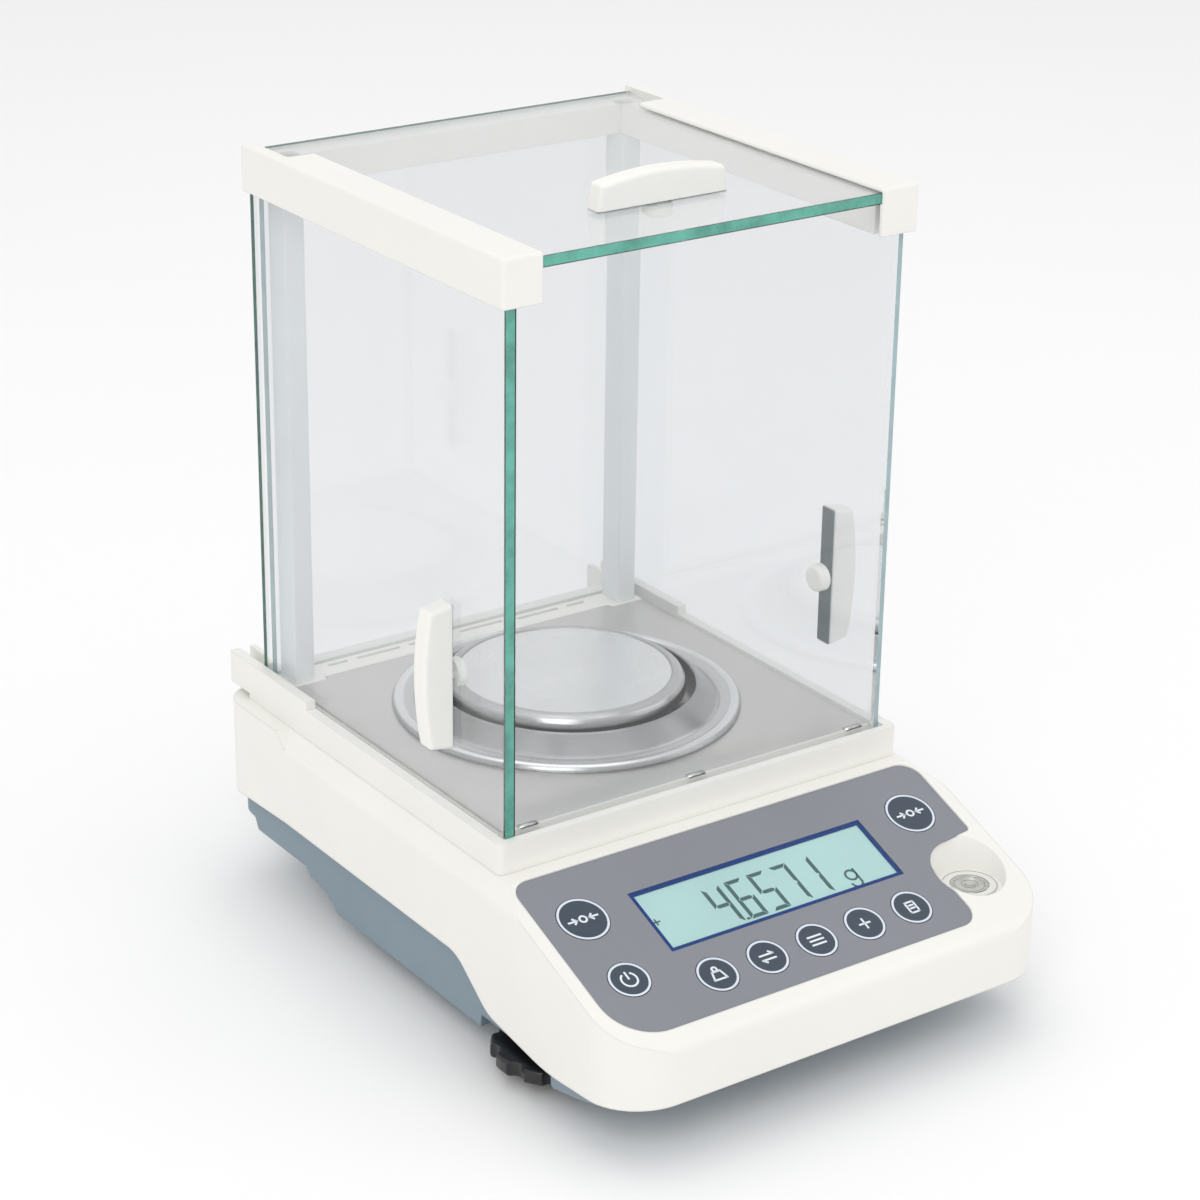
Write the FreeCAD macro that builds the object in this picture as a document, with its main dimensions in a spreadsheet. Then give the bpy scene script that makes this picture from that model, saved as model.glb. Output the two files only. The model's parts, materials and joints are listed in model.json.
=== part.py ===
import FreeCAD, Part
import math
import os

from FreeCAD import Placement, Rotation, Vector
import Sketcher

# Analytical balance with a glass draught shield. Millimetres, +Z up, +Y towards the back.
# The origin is on the ground, under the middle of the balance.

DIMENSIONS = {
    # upper shell: a flat deck, a sloping front panel and a wider lower tier
    "shell_half_width": 111.3,
    "shell_tier_half_width": 104.5,
    "shell_front": -161.7,
    "shell_rear": 158.1,
    "shell_top": 88.0,
    "shell_edge": 45.2,
    "shell_wall": 2.5,
    "shell_rear_edge": 42.6,
    "nose_edge": 27.5,
    "nose_lowest": -107.0,
    "nose_lowest_edge": 21.5,
    "nose_front_edge": 26.6,
    "nose_back": -64.0,
    "nose_step_top": -40.0,
    "slope_start": -69.4,
    "slope_drop": 35.03,
    "tier_low": 81.5,
    "tier_high": 88.0,
    "tier_rear_low": 101.0,
    "tier_rear_high": 114.0,
    "nose_corner_radius": 25.0,
    "rear_corner_radius": 15.0,
    # lower chassis
    "chassis_half_width": 104.0,
    "chassis_rear": 153.0,
    "chassis_front": -150.0,
    "chassis_floor": 11.5,
    "chassis_nose_floor": 17.4,
    "chassis_step_floor": 23.4,
    "chassis_wall": 2.5,
    # shield base, the flat plinth under the glass
    "base_half_width": 104.0,
    "base_front": -61.9,
    "base_rear": 145.1,
    "base_top": 102.0,
    "rail_rear": 161.7,
    "rail_bottom": 90.6,
    "lip_top": 105.8,
    "lip_front": 93.0,
    "floor_recess": 101.0,
    # glass
    "glass_thickness": 4.4,
    "rear_glass_thickness": 4.0,
    "door_outer": 98.8,
    "groove_inner": 93.9,
    "groove_outer": 99.3,
    "groove_floor": 99.8,
    "glass_bottom": 100.2,
    "front_glass_outer": -57.7,
    "front_groove": -58.0,
    "front_groove_back": -53.0,
    "right_door_set_back": 3.0,
    "door_rear": 139.5,
    "door_top": 332.0,
    "front_glass_top": 339.0,
    "rear_glass_middle": 136.0,
    "top_glass_top": 344.0,
    "top_glass_half_width": 96.0,
    "top_glass_front": -58.6,
    "top_glass_rear": 138.0,
    # top frame and columns
    "frame_half_width": 101.7,
    "frame_inner": 82.8,
    "frame_front": -60.2,
    "frame_rear": 140.2,
    "frame_bottom": 325.9,
    "frame_top": 346.2,
    "beam_front": 124.0,
    "beam_top": 339.0,
    "column_outer": 91.1,
    "column_inner": 81.3,
    "column_front": 119.7,
    "column_rear": 133.5,
    # weighing chamber floor, ring and pan
    "plate_half_width": 93.6,
    "plate_front": -51.7,
    "plate_side_rear": 117.0,
    "plate_notch": 76.0,
    "plate_rear": 120.0,
    "plate_thickness": 1.2,
    "pan_centre": 43.2,
    "ring_centre": 41.5,
    "pan_radius": 52.3,
    "pan_flat_radius": 46.0,
    "pan_top": 116.3,
    "pan_edge": 108.5,
    "ring_radius": 75.8,
    "ring_hole_radius": 55.5,
    "ring_top": 112.0,
    # door handles
    "handle_length": 64.5,
    "handle_width": 9.2,
    "handle_depth": 14.1,
    "handle_end_depth": 10.7,
    "handle_pad": 0.5,
    "nut_radius": 6.2,
    "nut_height": 5.0,
    "stud_radius": 2.5,
    "door_handle_y": -15.3,
    "door_handle_z": 159.3,
    "top_handle_y": -18.2,
    # front panel, measured down the slope from its top edge
    "overlay_half_width": 104.9,
    "overlay_top": 0.5,
    "overlay_bottom": 90.0,
    "overlay_thickness": 0.5,
    "overlay_recess": 1.05,
    "display_half_width": 60.4,
    "display_top": 21.8,
    "display_bottom": 55.6,
    "large_key_radius": 11.1,
    "small_key_radius": 8.9,
    "large_key_x": 85.4,
    "large_key_down": 27.0,
    "power_key_down": 61.6,
    "row_key_down": 72.7,
    "row_key_pitch": 25.2,
    "row_key_middle": 0.9,
    "key_gap": 0.3,
    # bubble level
    "level_x": 90.1,
    "level_y": -129.5,
    "level_floor": 57.4,
    "level_bowl_radius": 13.7,
    "level_mouth_radius": 16.1,
    "level_notch_radius": 17.0,
    "level_radius": 10.3,
    # feet
    "foot_x": 86.5,
    "foot_y": -77.0,
    "knob_radius": 26.8,
    "knob_bottom": 7.4,
    "knob_top": 14.0,
    "foot_stud_radius": 4.0,
    "rear_foot_x": 58.0,
    "rear_foot_y": 118.0,
    # column screws
    "column_screw_x": 86.2,
    "column_screw_y": 126.6,
}

doc = FreeCAD.newDocument("AnalyticalBalance")
sheet = doc.addObject("Spreadsheet::Sheet", "Dimensions")
for row, (alias, number) in enumerate(DIMENSIONS.items(), start=1):
    sheet.set(f"A{row}", alias)
    sheet.set(f"B{row}", str(number))
    sheet.setAlias(f"B{row}", alias)
doc.recompute()


class Size:
    """A number together with the sheet expression that gives it."""

    def __init__(self, number, text):
        self.number = float(number)
        self.text = text

    def __add__(self, other):
        other = as_size(other)
        return Size(self.number + other.number, f"({self.text} + {other.text})")

    def __sub__(self, other):
        other = as_size(other)
        return Size(self.number - other.number, f"({self.text} - {other.text})")

    def __mul__(self, other):
        other = as_size(other)
        return Size(self.number * other.number, f"({self.text} * {other.text})")

    def __truediv__(self, other):
        other = as_size(other)
        return Size(self.number / other.number, f"({self.text} / {other.text})")

    def __radd__(self, other):
        return as_size(other) + self

    def __rsub__(self, other):
        return as_size(other) - self

    def __rmul__(self, other):
        return as_size(other) * self

    def __neg__(self):
        return 0 - self


def as_size(value):
    if isinstance(value, Size):
        return value
    return Size(value, f"({float(value):.6f})")


class Dimensions:
    """Reads each driving dimension from the sheet by its alias."""

    def __getattr__(self, alias):
        return Size(sheet.get(alias), f"Dimensions.{alias}")


dim = Dimensions()
parts = []
SIDES = (("left", -1), ("right", 1))


def bind(item, prop, value):
    item.setExpression(prop, as_size(value).text)


def finish(item, name):
    """Gives a sub-part its node name and adds it to what is written out."""
    item.Label = name
    parts.append(item)
    return item


def span(low, high):
    """Orders two limits, so a mirrored box keeps positive sides."""
    low, high = as_size(low), as_size(high)
    if low.number <= high.number:
        return low, high
    return high, low


def box(name, x_limits, y_limits, z_limits):
    item = doc.addObject("Part::Box", name)
    limits = [span(*pair) for pair in (x_limits, y_limits, z_limits)]
    for prop, axis, (low, high) in zip(("Length", "Width", "Height"), "xyz", limits):
        bind(item, prop, high - low)
        bind(item, f"Placement.Base.{axis}", low)
    return item


TURN_TO_AXIS = {
    "x": Rotation(Vector(0, 1, 0), 90),
    "y": Rotation(Vector(1, 0, 0), -90),
    "z": Rotation(),
}


def place(item, start, axis="z"):
    item.Placement = Placement(Vector(0, 0, 0), TURN_TO_AXIS[axis])
    for letter, value in zip("xyz", start):
        bind(item, f"Placement.Base.{letter}", value)
    return item


def cylinder(name, radius, length, start, axis="z"):
    """A round bar from its start point along a positive axis."""
    item = doc.addObject("Part::Cylinder", name)
    bind(item, "Radius", radius)
    bind(item, "Height", length)
    return place(item, start, axis)


def cone(name, low_radius, high_radius, height, start, axis="z"):
    item = doc.addObject("Part::Cone", name)
    bind(item, "Radius1", low_radius)
    bind(item, "Radius2", high_radius)
    bind(item, "Height", height)
    return place(item, start, axis)


def fuse(name, *items):
    item = doc.addObject("Part::MultiFuse", name)
    item.Shapes = list(items)
    item.Refine = True
    return item


def common(name, *items):
    item = doc.addObject("Part::MultiCommon", name)
    item.Shapes = list(items)
    return item


def cut(name, base, *tools):
    tool = tools[0] if len(tools) == 1 else fuse(name + "_tools", *tools)
    item = doc.addObject("Part::Cut", name)
    item.Base = base
    item.Tool = tool
    item.Refine = True
    return item


def group(name, items):
    """Separate identical solids that share one node."""
    item = doc.addObject("Part::Compound", name)
    item.Links = list(items)
    return item


def corner_edges(shape, corner, across):
    """Names of the edges that run along the extrusion through a profile corner."""
    names = []
    for number, edge in enumerate(shape.Edges, start=1):
        if len(edge.Vertexes) != 2:
            continue
        ends = [vertex.Point for vertex in edge.Vertexes]
        near = all(
            abs(getattr(end, axis) - place) < 0.01
            for end in ends
            for axis, place in zip(across, corner)
        )
        if near:
            names.append(f"Edge{number}")
    return names


# sketch plane: (role of the origin plane, axes of the sketch, axis of the pad, pad goes the negative way)
PLANES = {
    "side": ("YZ_Plane", "yz", "x", False),
    "plan": ("XY_Plane", "xy", "z", False),
    "front": ("XZ_Plane", "xz", "y", True),
}


def prism(name, plane, points, limits, rounds=()):
    """A padded outline. Each round is (corner number, radius) on an edge along the pad."""
    role, across, along, backwards = PLANES[plane]
    low, high = span(*limits)
    body = doc.addObject("PartDesign::Body", name)
    sketch = body.newObject("Sketcher::SketchObject", name + "_outline")
    origin_plane = next(item for item in body.Origin.OriginFeatures if item.Role == role)
    sketch.AttachmentSupport = (origin_plane, [""])
    sketch.MapMode = "FlatFace"
    corners = [(as_size(first), as_size(second)) for first, second in points]
    places = [Vector(first.number, second.number, 0) for first, second in corners]
    for here, there in zip(places, places[1:] + places[:1]):
        sketch.addGeometry(Part.LineSegment(here, there), False)
    count = len(corners)
    for number in range(count):
        sketch.addConstraint(Sketcher.Constraint("Coincident", number, 2, (number + 1) % count, 1))
    for number, (first, second) in enumerate(corners):
        for kind, value in (("DistanceX", first), ("DistanceY", second)):
            index = sketch.addConstraint(Sketcher.Constraint(kind, -1, 1, number, 1, value.number))
            sketch.setExpression(f"Constraints[{index}]", value.text)
    pad = body.newObject("PartDesign::Pad", name + "_pad")
    pad.Profile = sketch
    bind(pad, "Length", high - low)
    bind(body, f"Placement.Base.{along}", high if backwards else low)
    doc.recompute()
    feature = pad
    for number, (index, radius) in enumerate(rounds):
        first, second = corners[index]
        edges = corner_edges(feature.Shape, (first.number, second.number), across)
        fillet = body.newObject("PartDesign::Fillet", f"{name}_round{number}")
        fillet.Base = (feature, edges)
        bind(fillet, "Radius", radius)
        doc.recompute()
        feature = fillet
    body.Tip = feature
    return body


def turned(name, points, start):
    """A solid of revolution about a vertical axis. Points are (radius, height)."""
    body = doc.addObject("PartDesign::Body", name)
    sketch = body.newObject("Sketcher::SketchObject", name + "_section")
    origin_plane = next(item for item in body.Origin.OriginFeatures if item.Role == "XZ_Plane")
    sketch.AttachmentSupport = (origin_plane, [""])
    sketch.MapMode = "FlatFace"
    corners = [(as_size(first), as_size(second)) for first, second in points]
    places = [Vector(first.number, second.number, 0) for first, second in corners]
    for here, there in zip(places, places[1:] + places[:1]):
        sketch.addGeometry(Part.LineSegment(here, there), False)
    count = len(corners)
    for number in range(count):
        sketch.addConstraint(Sketcher.Constraint("Coincident", number, 2, (number + 1) % count, 1))
    for number, (first, second) in enumerate(corners):
        for kind, value in (("DistanceX", first), ("DistanceY", second)):
            index = sketch.addConstraint(Sketcher.Constraint(kind, -1, 1, number, 1, value.number))
            sketch.setExpression(f"Constraints[{index}]", value.text)
    turn = body.newObject("PartDesign::Revolution", name + "_turn")
    turn.Profile = sketch
    turn.ReferenceAxis = (sketch, ["V_Axis"])
    turn.Angle = 360
    for letter, value in zip("xyz", start):
        bind(body, f"Placement.Base.{letter}", value)
    body.Tip = turn
    return body


def soften(name, item, radius, choose):
    """Rounds the edges of a solid that the choose function picks."""
    doc.recompute()
    rounded = doc.addObject("Part::Fillet", name)
    rounded.Base = item
    rounded.Edges = [
        (number, radius, radius)
        for number, edge in enumerate(item.Shape.Edges, start=1)
        if choose(edge)
    ]
    return rounded


def edge_middle(edge):
    return edge.valueAt((edge.FirstParameter + edge.LastParameter) / 2)


# The panel frame lies on the slope: x across, y up the slope, z out of the surface.
SLOPE_RUN = (dim.slope_start - dim.shell_front).number
SLOPE_ANGLE = math.degrees(math.atan2(dim.slope_drop.number, SLOPE_RUN))
PANEL = Placement(
    Vector(0, dim.slope_start.number, dim.shell_top.number),
    Rotation(Vector(1, 0, 0), SLOPE_ANGLE),
)


def on_panel(item, across=0.0, down=0.0, out=0.0):
    """Places an item in the panel frame, at a distance down the slope."""
    item.Placement = PANEL.multiply(Placement(Vector(across, -down, out), Rotation()))
    return item


def panel_box(name, x_limits, down_limits, out_limits):
    item = doc.addObject("Part::Box", name)
    limits = [span(*pair) for pair in (x_limits, down_limits, out_limits)]
    for prop, (low, high) in zip(("Length", "Width", "Height"), limits):
        bind(item, prop, high - low)
    return on_panel(item, limits[0][0].number, limits[1][1].number, limits[2][0].number)


def panel_cylinder(name, radius, across, down, out_limits):
    item = doc.addObject("Part::Cylinder", name)
    low, high = span(*out_limits)
    bind(item, "Radius", radius)
    bind(item, "Height", high - low)
    return on_panel(item, as_size(across).number, as_size(down).number, low.number)


KEYS = [
    ("key_left_large", -dim.large_key_x, dim.large_key_down, dim.large_key_radius),
    ("key_right_large", dim.large_key_x, dim.large_key_down, dim.large_key_radius),
    ("key_power", -dim.large_key_x, dim.power_key_down, dim.small_key_radius),
]
for number in range(5):
    KEYS.append((
        f"key_row_{number + 1}",
        dim.row_key_middle + dim.row_key_pitch * (number - 2),
        dim.row_key_down,
        dim.small_key_radius,
    ))


# ---------------------------------------------------------------- casing

def lower_edge(front, rear, rise):
    """The line where the upper shell ends, front to back: it dips under the nose."""
    return [
        (front, dim.nose_front_edge + rise),
        (dim.nose_lowest, dim.nose_lowest_edge + rise),
        (dim.nose_back, dim.nose_edge + rise),
        (dim.nose_step_top, dim.shell_edge + rise),
        (dim.tier_rear_low, dim.shell_edge + rise),
        (rear, dim.shell_rear_edge + rise),
    ]


def shell_block(name, inset, bottom):
    """The outer form of the upper shell, drawn in by an inset on every wall."""
    top = dim.shell_top - inset
    front = dim.shell_front + inset
    rear = dim.shell_rear - inset
    nose_top = dim.shell_top - dim.slope_drop - inset * 0.7
    if bottom is None:
        outline = [(rear, top), (dim.slope_start, top), (front, nose_top)] + lower_edge(front, rear, 0)
        rounds = [(2, 5.0), (4, 90.0), (5, 20.0), (6, 20.0)]
    else:
        outline = [(rear, top), (dim.slope_start, top), (front, nose_top), (front, bottom), (rear, bottom)]
        rounds = [(2, 5.0 - inset)]
    shift = inset * 1.6
    wide = dim.shell_half_width - inset
    narrow = dim.shell_tier_half_width - inset
    side = prism(name + "_side", "side", outline, (-dim.shell_half_width, dim.shell_half_width), rounds)
    plan = prism(
        name + "_plan", "plan",
        [(-wide, front), (wide, front), (wide, rear), (-wide, rear)],
        (0, dim.shell_top + 5),
        [
            (0, dim.nose_corner_radius - inset), (1, dim.nose_corner_radius - inset),
            (2, dim.rear_corner_radius - inset), (3, dim.rear_corner_radius - inset),
        ],
    )
    tiers = prism(
        name + "_tiers", "front",
        [
            (-wide, 0), (-wide, dim.tier_low), (-narrow, dim.tier_high), (-narrow, dim.shell_top + 5),
            (narrow, dim.shell_top + 5), (narrow, dim.tier_high), (wide, dim.tier_low), (wide, 0),
        ],
        (dim.shell_front - 5, dim.tier_rear_high + shift),
        [(1, 2.5), (6, 2.5)],
    )
    shoulder = prism(
        name + "_shoulder", "side",
        [
            (dim.tier_rear_low + shift, dim.tier_low - 5), (dim.tier_rear_low + shift, dim.tier_low),
            (dim.tier_rear_high + shift, dim.shell_top + 5),
            (dim.shell_rear + 5, dim.shell_top + 5), (dim.shell_rear + 5, 0),
            (dim.tier_rear_high + shift, 0), (dim.tier_rear_high + shift, dim.tier_low - 5),
        ],
        (-wide, wide),
    )
    return common(name, side, plan, fuse(name + "_section", tiers, shoulder))


SCREW_PLACES = [(-88.0, 96.0), (88.0, 96.0), (-88.0, -28.0), (88.0, -28.0)]


def make_upper_shell():
    outer = shell_block("shell_outer", 0, None)
    inner = shell_block("shell_inner", dim.shell_wall, 0)
    hollow = cut("shell_hollow", outer, inner)
    cup = common(
        "shell_cup",
        cylinder("shell_cup_bar", dim.level_mouth_radius + 2.5, dim.shell_top - dim.level_floor + 2.5,
                 (dim.level_x, dim.level_y, dim.level_floor - 2.5)),
        outer,
    )
    bosses = [
        cylinder(f"shell_boss{number}", 4.5, dim.shell_top - 1 - 36, (x, y, 36))
        for number, (x, y) in enumerate(SCREW_PLACES)
    ]
    walls = fuse("shell_walls", hollow, cup, *bosses)
    flare = (dim.level_mouth_radius - dim.level_bowl_radius) / 7
    openings = [
        cone("shell_bowl", dim.level_bowl_radius, dim.level_bowl_radius + flare * 30, 30,
             (dim.level_x, dim.level_y, dim.level_floor)),
        cylinder("shell_level_hole", dim.level_radius + 0.2, 10,
                 (dim.level_x, dim.level_y, dim.level_floor - 5)),
        box("shell_deck_opening", (-66, 66), (-24, 112), (dim.shell_top - 5, dim.shell_top + 2)),
        panel_box("shell_display_opening", (-dim.display_half_width - 2, dim.display_half_width + 2),
                  (dim.display_top - 2, dim.display_bottom + 2), (-6, 2)),
        box("shell_connector_opening", (-32, 62), (dim.shell_rear - 5, dim.shell_rear + 2), (54, 80)),
        overlay_outline("shell_overlay_recess", 0.15, -dim.overlay_recess, 3),
    ]
    openings += [
        panel_cylinder(f"shell_{name}_hole", radius + 0.35, across, down, (-6, 2))
        for name, across, down, radius in KEYS
    ]
    openings += [
        cylinder(f"shell_boss_hole{number}", 1.3, 30, (x, y, 34))
        for number, (x, y) in enumerate(SCREW_PLACES)
    ]
    finish(cut("upper_shell_cut", walls, *openings), "upper_shell")


def overlay_outline(name, grow, low, high):
    """The overlay's outline: a rounded sheet with a bay round the bubble level."""
    left = -dim.overlay_half_width - grow
    right = dim.overlay_half_width + grow
    top = -dim.overlay_top + grow
    bottom = -dim.overlay_bottom - grow
    corner_bottom = -45.0 - grow
    bay_side = 75.2 + grow
    bay_down = 63.5
    bay_radius = dim.level_notch_radius - grow
    low, high = as_size(low), as_size(high)
    sheet_body = prism(
        name + "_sheet", "plan",
        [(left, bottom), (bay_side, bottom), (bay_side, -bay_down - 2), (dim.level_x, bay_radius - bay_down),
         (right, corner_bottom), (right, top), (left, top)],
        (low, high),
        [(0, 21.0), (1, 9.0), (4, 2.5), (5, 9.5), (6, 8.5)],
    )
    bay = cylinder(name + "_bay", bay_radius, high - low + 2, (dim.level_x, -bay_down, low - 1))
    notched = cut(name + "_notched", sheet_body, bay)
    reach = dim.level_x.number - bay_side
    meeting = -bay_down - math.sqrt(bay_radius.number ** 2 - reach ** 2)
    smooth = soften(
        name, notched, 6.0,
        lambda edge: abs(edge_middle(edge).y - meeting) < 0.1 and abs(edge_middle(edge).x - bay_side) < 0.1,
    )
    smooth.Placement = PANEL
    return smooth


def make_lower_chassis():
    wall = dim.chassis_wall
    half = dim.chassis_half_width
    skirt = 3.8
    tray_outline = [
        (dim.chassis_rear, 47.0), (dim.chassis_rear, dim.shell_rear_edge - 0.3),
        (dim.chassis_rear + skirt, dim.shell_rear_edge - 0.3), (dim.chassis_rear + skirt, 36.4),
        (153.4, 30.2), (143.2, 28.6), (140.4, dim.chassis_step_floor),
        (96.9, dim.chassis_step_floor), (92.6, 19.8), (79.2, 18.2),
        (68.8, dim.chassis_floor), (-47.4, dim.chassis_floor), (-48.4, dim.chassis_nose_floor),
        (-118.0, dim.chassis_nose_floor), (-139.0, 23.4), (dim.chassis_front, 26.6),
        (dim.chassis_front, 28.0), (-75.0, 28.0), (-43.0, 47.0),
    ]
    tray = prism("chassis_tray", "side", tray_outline, (-half, half), [(3, 3.0), (6, 2.0), (10, 6.0)])
    nose_half = dim.shell_half_width - dim.shell_wall - 0.9
    nose = common(
        "chassis_nose",
        prism(
            "chassis_nose_side", "side",
            [(-104.6, 26.5), (-105.6, 13.2), (-120, 16.2), (-136, 20.6), (-154, 26.4)],
            (-nose_half, nose_half),
            [(1, 1.5)],
        ),
        prism(
            "chassis_nose_plan", "plan",
            [(-nose_half, -156), (nose_half, -156), (nose_half, -60), (-nose_half, -60)],
            (0, 60),
            [(0, 20.0), (1, 20.0)],
        ),
    )
    tray_plan = prism(
        "chassis_plan", "plan",
        [(-half, dim.chassis_front), (half, dim.chassis_front),
         (half, dim.chassis_rear + skirt), (-half, dim.chassis_rear + skirt)],
        (0, 60),
        [(0, 18.0), (1, 18.0), (2, 9.0), (3, 9.0)],
    )
    flange_half = dim.shell_half_width - dim.shell_wall - 0.3
    flange_front = dim.shell_front + 3
    flange_rear = dim.shell_rear - 3
    flange_outline = lower_edge(flange_front, flange_rear, -0.4)
    flange_outline += lower_edge(flange_front, flange_rear, 2.1)[::-1]
    flange = common(
        "chassis_flange",
        prism("chassis_flange_band", "side", flange_outline, (-flange_half, flange_half)),
        prism(
            "chassis_flange_plan", "plan",
            [(-flange_half, flange_front), (flange_half, flange_front), (flange_half, flange_rear),
             (-flange_half, flange_rear)],
            (0, 60),
            [(0, dim.nose_corner_radius - 3), (1, dim.nose_corner_radius - 3),
             (2, dim.rear_corner_radius - 3), (3, dim.rear_corner_radius - 3)],
        ),
    )
    cavity_outline = [
        (dim.chassis_rear - wall, 60), (dim.chassis_rear - wall, 35.6), (148.2, 31.9), (141.4, 31.1),
        (138.6, dim.chassis_step_floor + wall), (95.9, dim.chassis_step_floor + wall),
        (91.6, 22.3), (78.2, 20.7), (67.8, dim.chassis_floor + wall),
        (-45.0, dim.chassis_floor + wall), (-46.0, dim.chassis_nose_floor + wall),
        (-118.0, dim.chassis_nose_floor + wall), (-137.0, 25.6), (dim.chassis_front + wall, 60),
    ]
    cavity = common(
        "chassis_cavity",
        prism("chassis_cavity_side", "side", cavity_outline, (-half + wall, half - wall)),
        prism(
            "chassis_cavity_plan", "plan",
            [(-half + wall, dim.chassis_front + wall), (half - wall, dim.chassis_front + wall),
             (half - wall, dim.chassis_rear - wall), (-half + wall, dim.chassis_rear - wall)],
            (0, 70),
            [(0, 15.5), (1, 15.5), (2, 6.5), (3, 6.5)],
        ),
    )
    posts = []
    holes = []
    for number, (x, y) in enumerate(SCREW_PLACES):
        floor = 19.0 if y > 0 else dim.chassis_floor.number
        posts.append(cylinder(f"chassis_post{number}", 4.5, 35.6 - floor - 1, (x, y, floor + 1)))
        holes.append(cylinder(f"chassis_hole{number}", 1.8, 40, (x, y, 0)))
        holes.append(cylinder(f"chassis_head_hole{number}", 3.4, 28.0, (x, y, 0)))
    for side, sign in SIDES:
        holes.append(cylinder(f"chassis_{side}_foot_hole", 5.0, 30, (dim.foot_x * sign, dim.foot_y, 10)))
        holes.append(cylinder(f"chassis_{side}_plug_hole", 3.2, 12,
                              (dim.rear_foot_x * sign, dim.rear_foot_y, 18)))
    tray_walls = cut(
        "chassis_walls",
        fuse("chassis_solid", common("chassis_tray_form", tray, tray_plan), nose, flange),
        cavity,
    )
    finish(cut("lower_chassis_cut", fuse("chassis_posts", tray_walls, *posts), *holes), "lower_chassis")


def make_chassis_screws():
    screws = []
    for number, (x, y) in enumerate(SCREW_PLACES):
        shank = cylinder(f"screw_shank{number}", 1.2, 30, (x, y, 27.9))
        head = cylinder(f"screw_head{number}", 2.9, 2.4, (x, y, 25.5))
        screws.append(fuse(f"screw{number}", shank, head))
    finish(group("chassis_screw_group", screws), "chassis_screws")


# ---------------------------------------------------------------- draught shield

def make_shield_base():
    half = dim.base_half_width
    slab = prism(
        "base_slab", "plan",
        [(-half, dim.base_front), (half, dim.base_front), (half, dim.base_rear), (-half, dim.base_rear)],
        (dim.shell_top, dim.base_top),
        [(0, 3.0), (1, 3.0)],
    )
    solids = [slab]
    cuts = []
    for side, sign in SIDES:
        outer = half * sign
        inner = 91.4 * sign
        groove = dim.groove_outer * sign
        solids.append(box(f"base_{side}_rail", (inner, outer), (dim.base_rear - 2, dim.rail_rear),
                          (dim.rail_bottom, dim.base_top)))
        solids.append(box(f"base_{side}_lip", (groove, outer), (dim.lip_front, dim.rail_rear),
                          (dim.base_top - 1, dim.lip_top)))
        solids.append(box(f"base_{side}_inner_lip", (inner, dim.groove_inner * sign),
                          (dim.rear_glass_middle + 2.8, dim.rail_rear), (dim.base_top - 1, dim.lip_top)))
        cuts.append(box(f"base_{side}_groove", (dim.groove_inner * sign, groove),
                        (dim.front_groove, dim.rail_rear + 1), (dim.groove_floor, dim.base_top + 10)))
    bead_breaks = [
        box(f"base_bead_break{number}", (x - 4.7, x + 4.7), (dim.front_groove_back + 0.2, dim.plate_front),
            (dim.floor_recess, dim.base_top + 5))
        for number, x in enumerate((-85.0, 0.0, 85.0))
    ]
    solids.append(box("base_front_bead", (-dim.groove_inner, dim.groove_inner),
                      (dim.front_groove_back, dim.plate_front - 0.2), (dim.base_top - 1, dim.base_top + 1)))
    cuts += bead_breaks
    cuts.append(box("base_front_groove", (-dim.groove_outer, dim.groove_outer),
                    (dim.front_groove, dim.front_groove_back), (dim.groove_floor, dim.base_top + 5)))
    cuts.append(box("base_rear_groove", (-dim.column_outer - 1.8, dim.column_outer + 1.8),
                    (dim.rear_glass_middle - 2.3, dim.rear_glass_middle + 2.3),
                    (dim.groove_floor, dim.base_top + 5)))
    cuts.append(box("base_floor_recess", (-dim.groove_inner - 1, dim.groove_inner + 1),
                    (dim.plate_front - 0.2, dim.plate_side_rear + 0.2),
                    (dim.floor_recess, dim.base_top + 5)))
    cuts.append(box("base_floor_recess_rear", (-dim.plate_notch - 0.2, dim.plate_notch + 0.2),
                    (100, dim.plate_rear + 0.2), (dim.floor_recess, dim.base_top + 5)))
    cuts.append(box("base_hollow", (-86, 86), (-44, 114), (dim.shell_top - 1, dim.floor_recess - 2.8)))
    cuts.append(cylinder("base_post_hole", 30, 30, (0, dim.pan_centre, 90)))
    slot_lengths = (10.0, 23.0, 23.0, 23.0, 23.0, 10.0)
    slot_gap = 5.0
    start = -(sum(slot_lengths) + slot_gap * (len(slot_lengths) - 1)) / 2
    for number, length in enumerate(slot_lengths):
        cuts.append(box(f"base_vent{number}", (start, start + length), (128.9, 131.1),
                        (dim.base_top - 3, dim.base_top + 5)))
        start += length + slot_gap
    for side, sign in SIDES:
        screw_x = dim.column_screw_x * sign
        screw_y = dim.column_screw_y
        cuts.append(cylinder(f"base_{side}_screw_hole", 2.2, 30, (screw_x, screw_y, 80)))
        cuts.append(cylinder(f"base_{side}_head_hole", 4.2, 7.0, (screw_x, screw_y, dim.shell_top - 1)))
    finish(cut("shield_base_cut", fuse("base_solids", *solids), *cuts), "shield_base")


def make_floor_plate():
    half = dim.plate_half_width
    plate = prism(
        "plate_sheet", "plan",
        [(-half, dim.plate_front), (half, dim.plate_front), (half, dim.plate_side_rear),
         (dim.plate_notch, dim.plate_side_rear), (dim.plate_notch, dim.plate_rear),
         (-dim.plate_notch, dim.plate_rear), (-dim.plate_notch, dim.plate_side_rear),
         (-half, dim.plate_side_rear)],
        (dim.floor_recess, dim.floor_recess + dim.plate_thickness),
        [(0, 2.0), (1, 2.0), (2, 3.0), (7, 3.0)],
    )
    hole = cylinder("plate_hole", 34, 10, (0, dim.pan_centre, 100))
    finish(cut("floor_plate_cut", plate, hole), "floor_plate")


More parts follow.
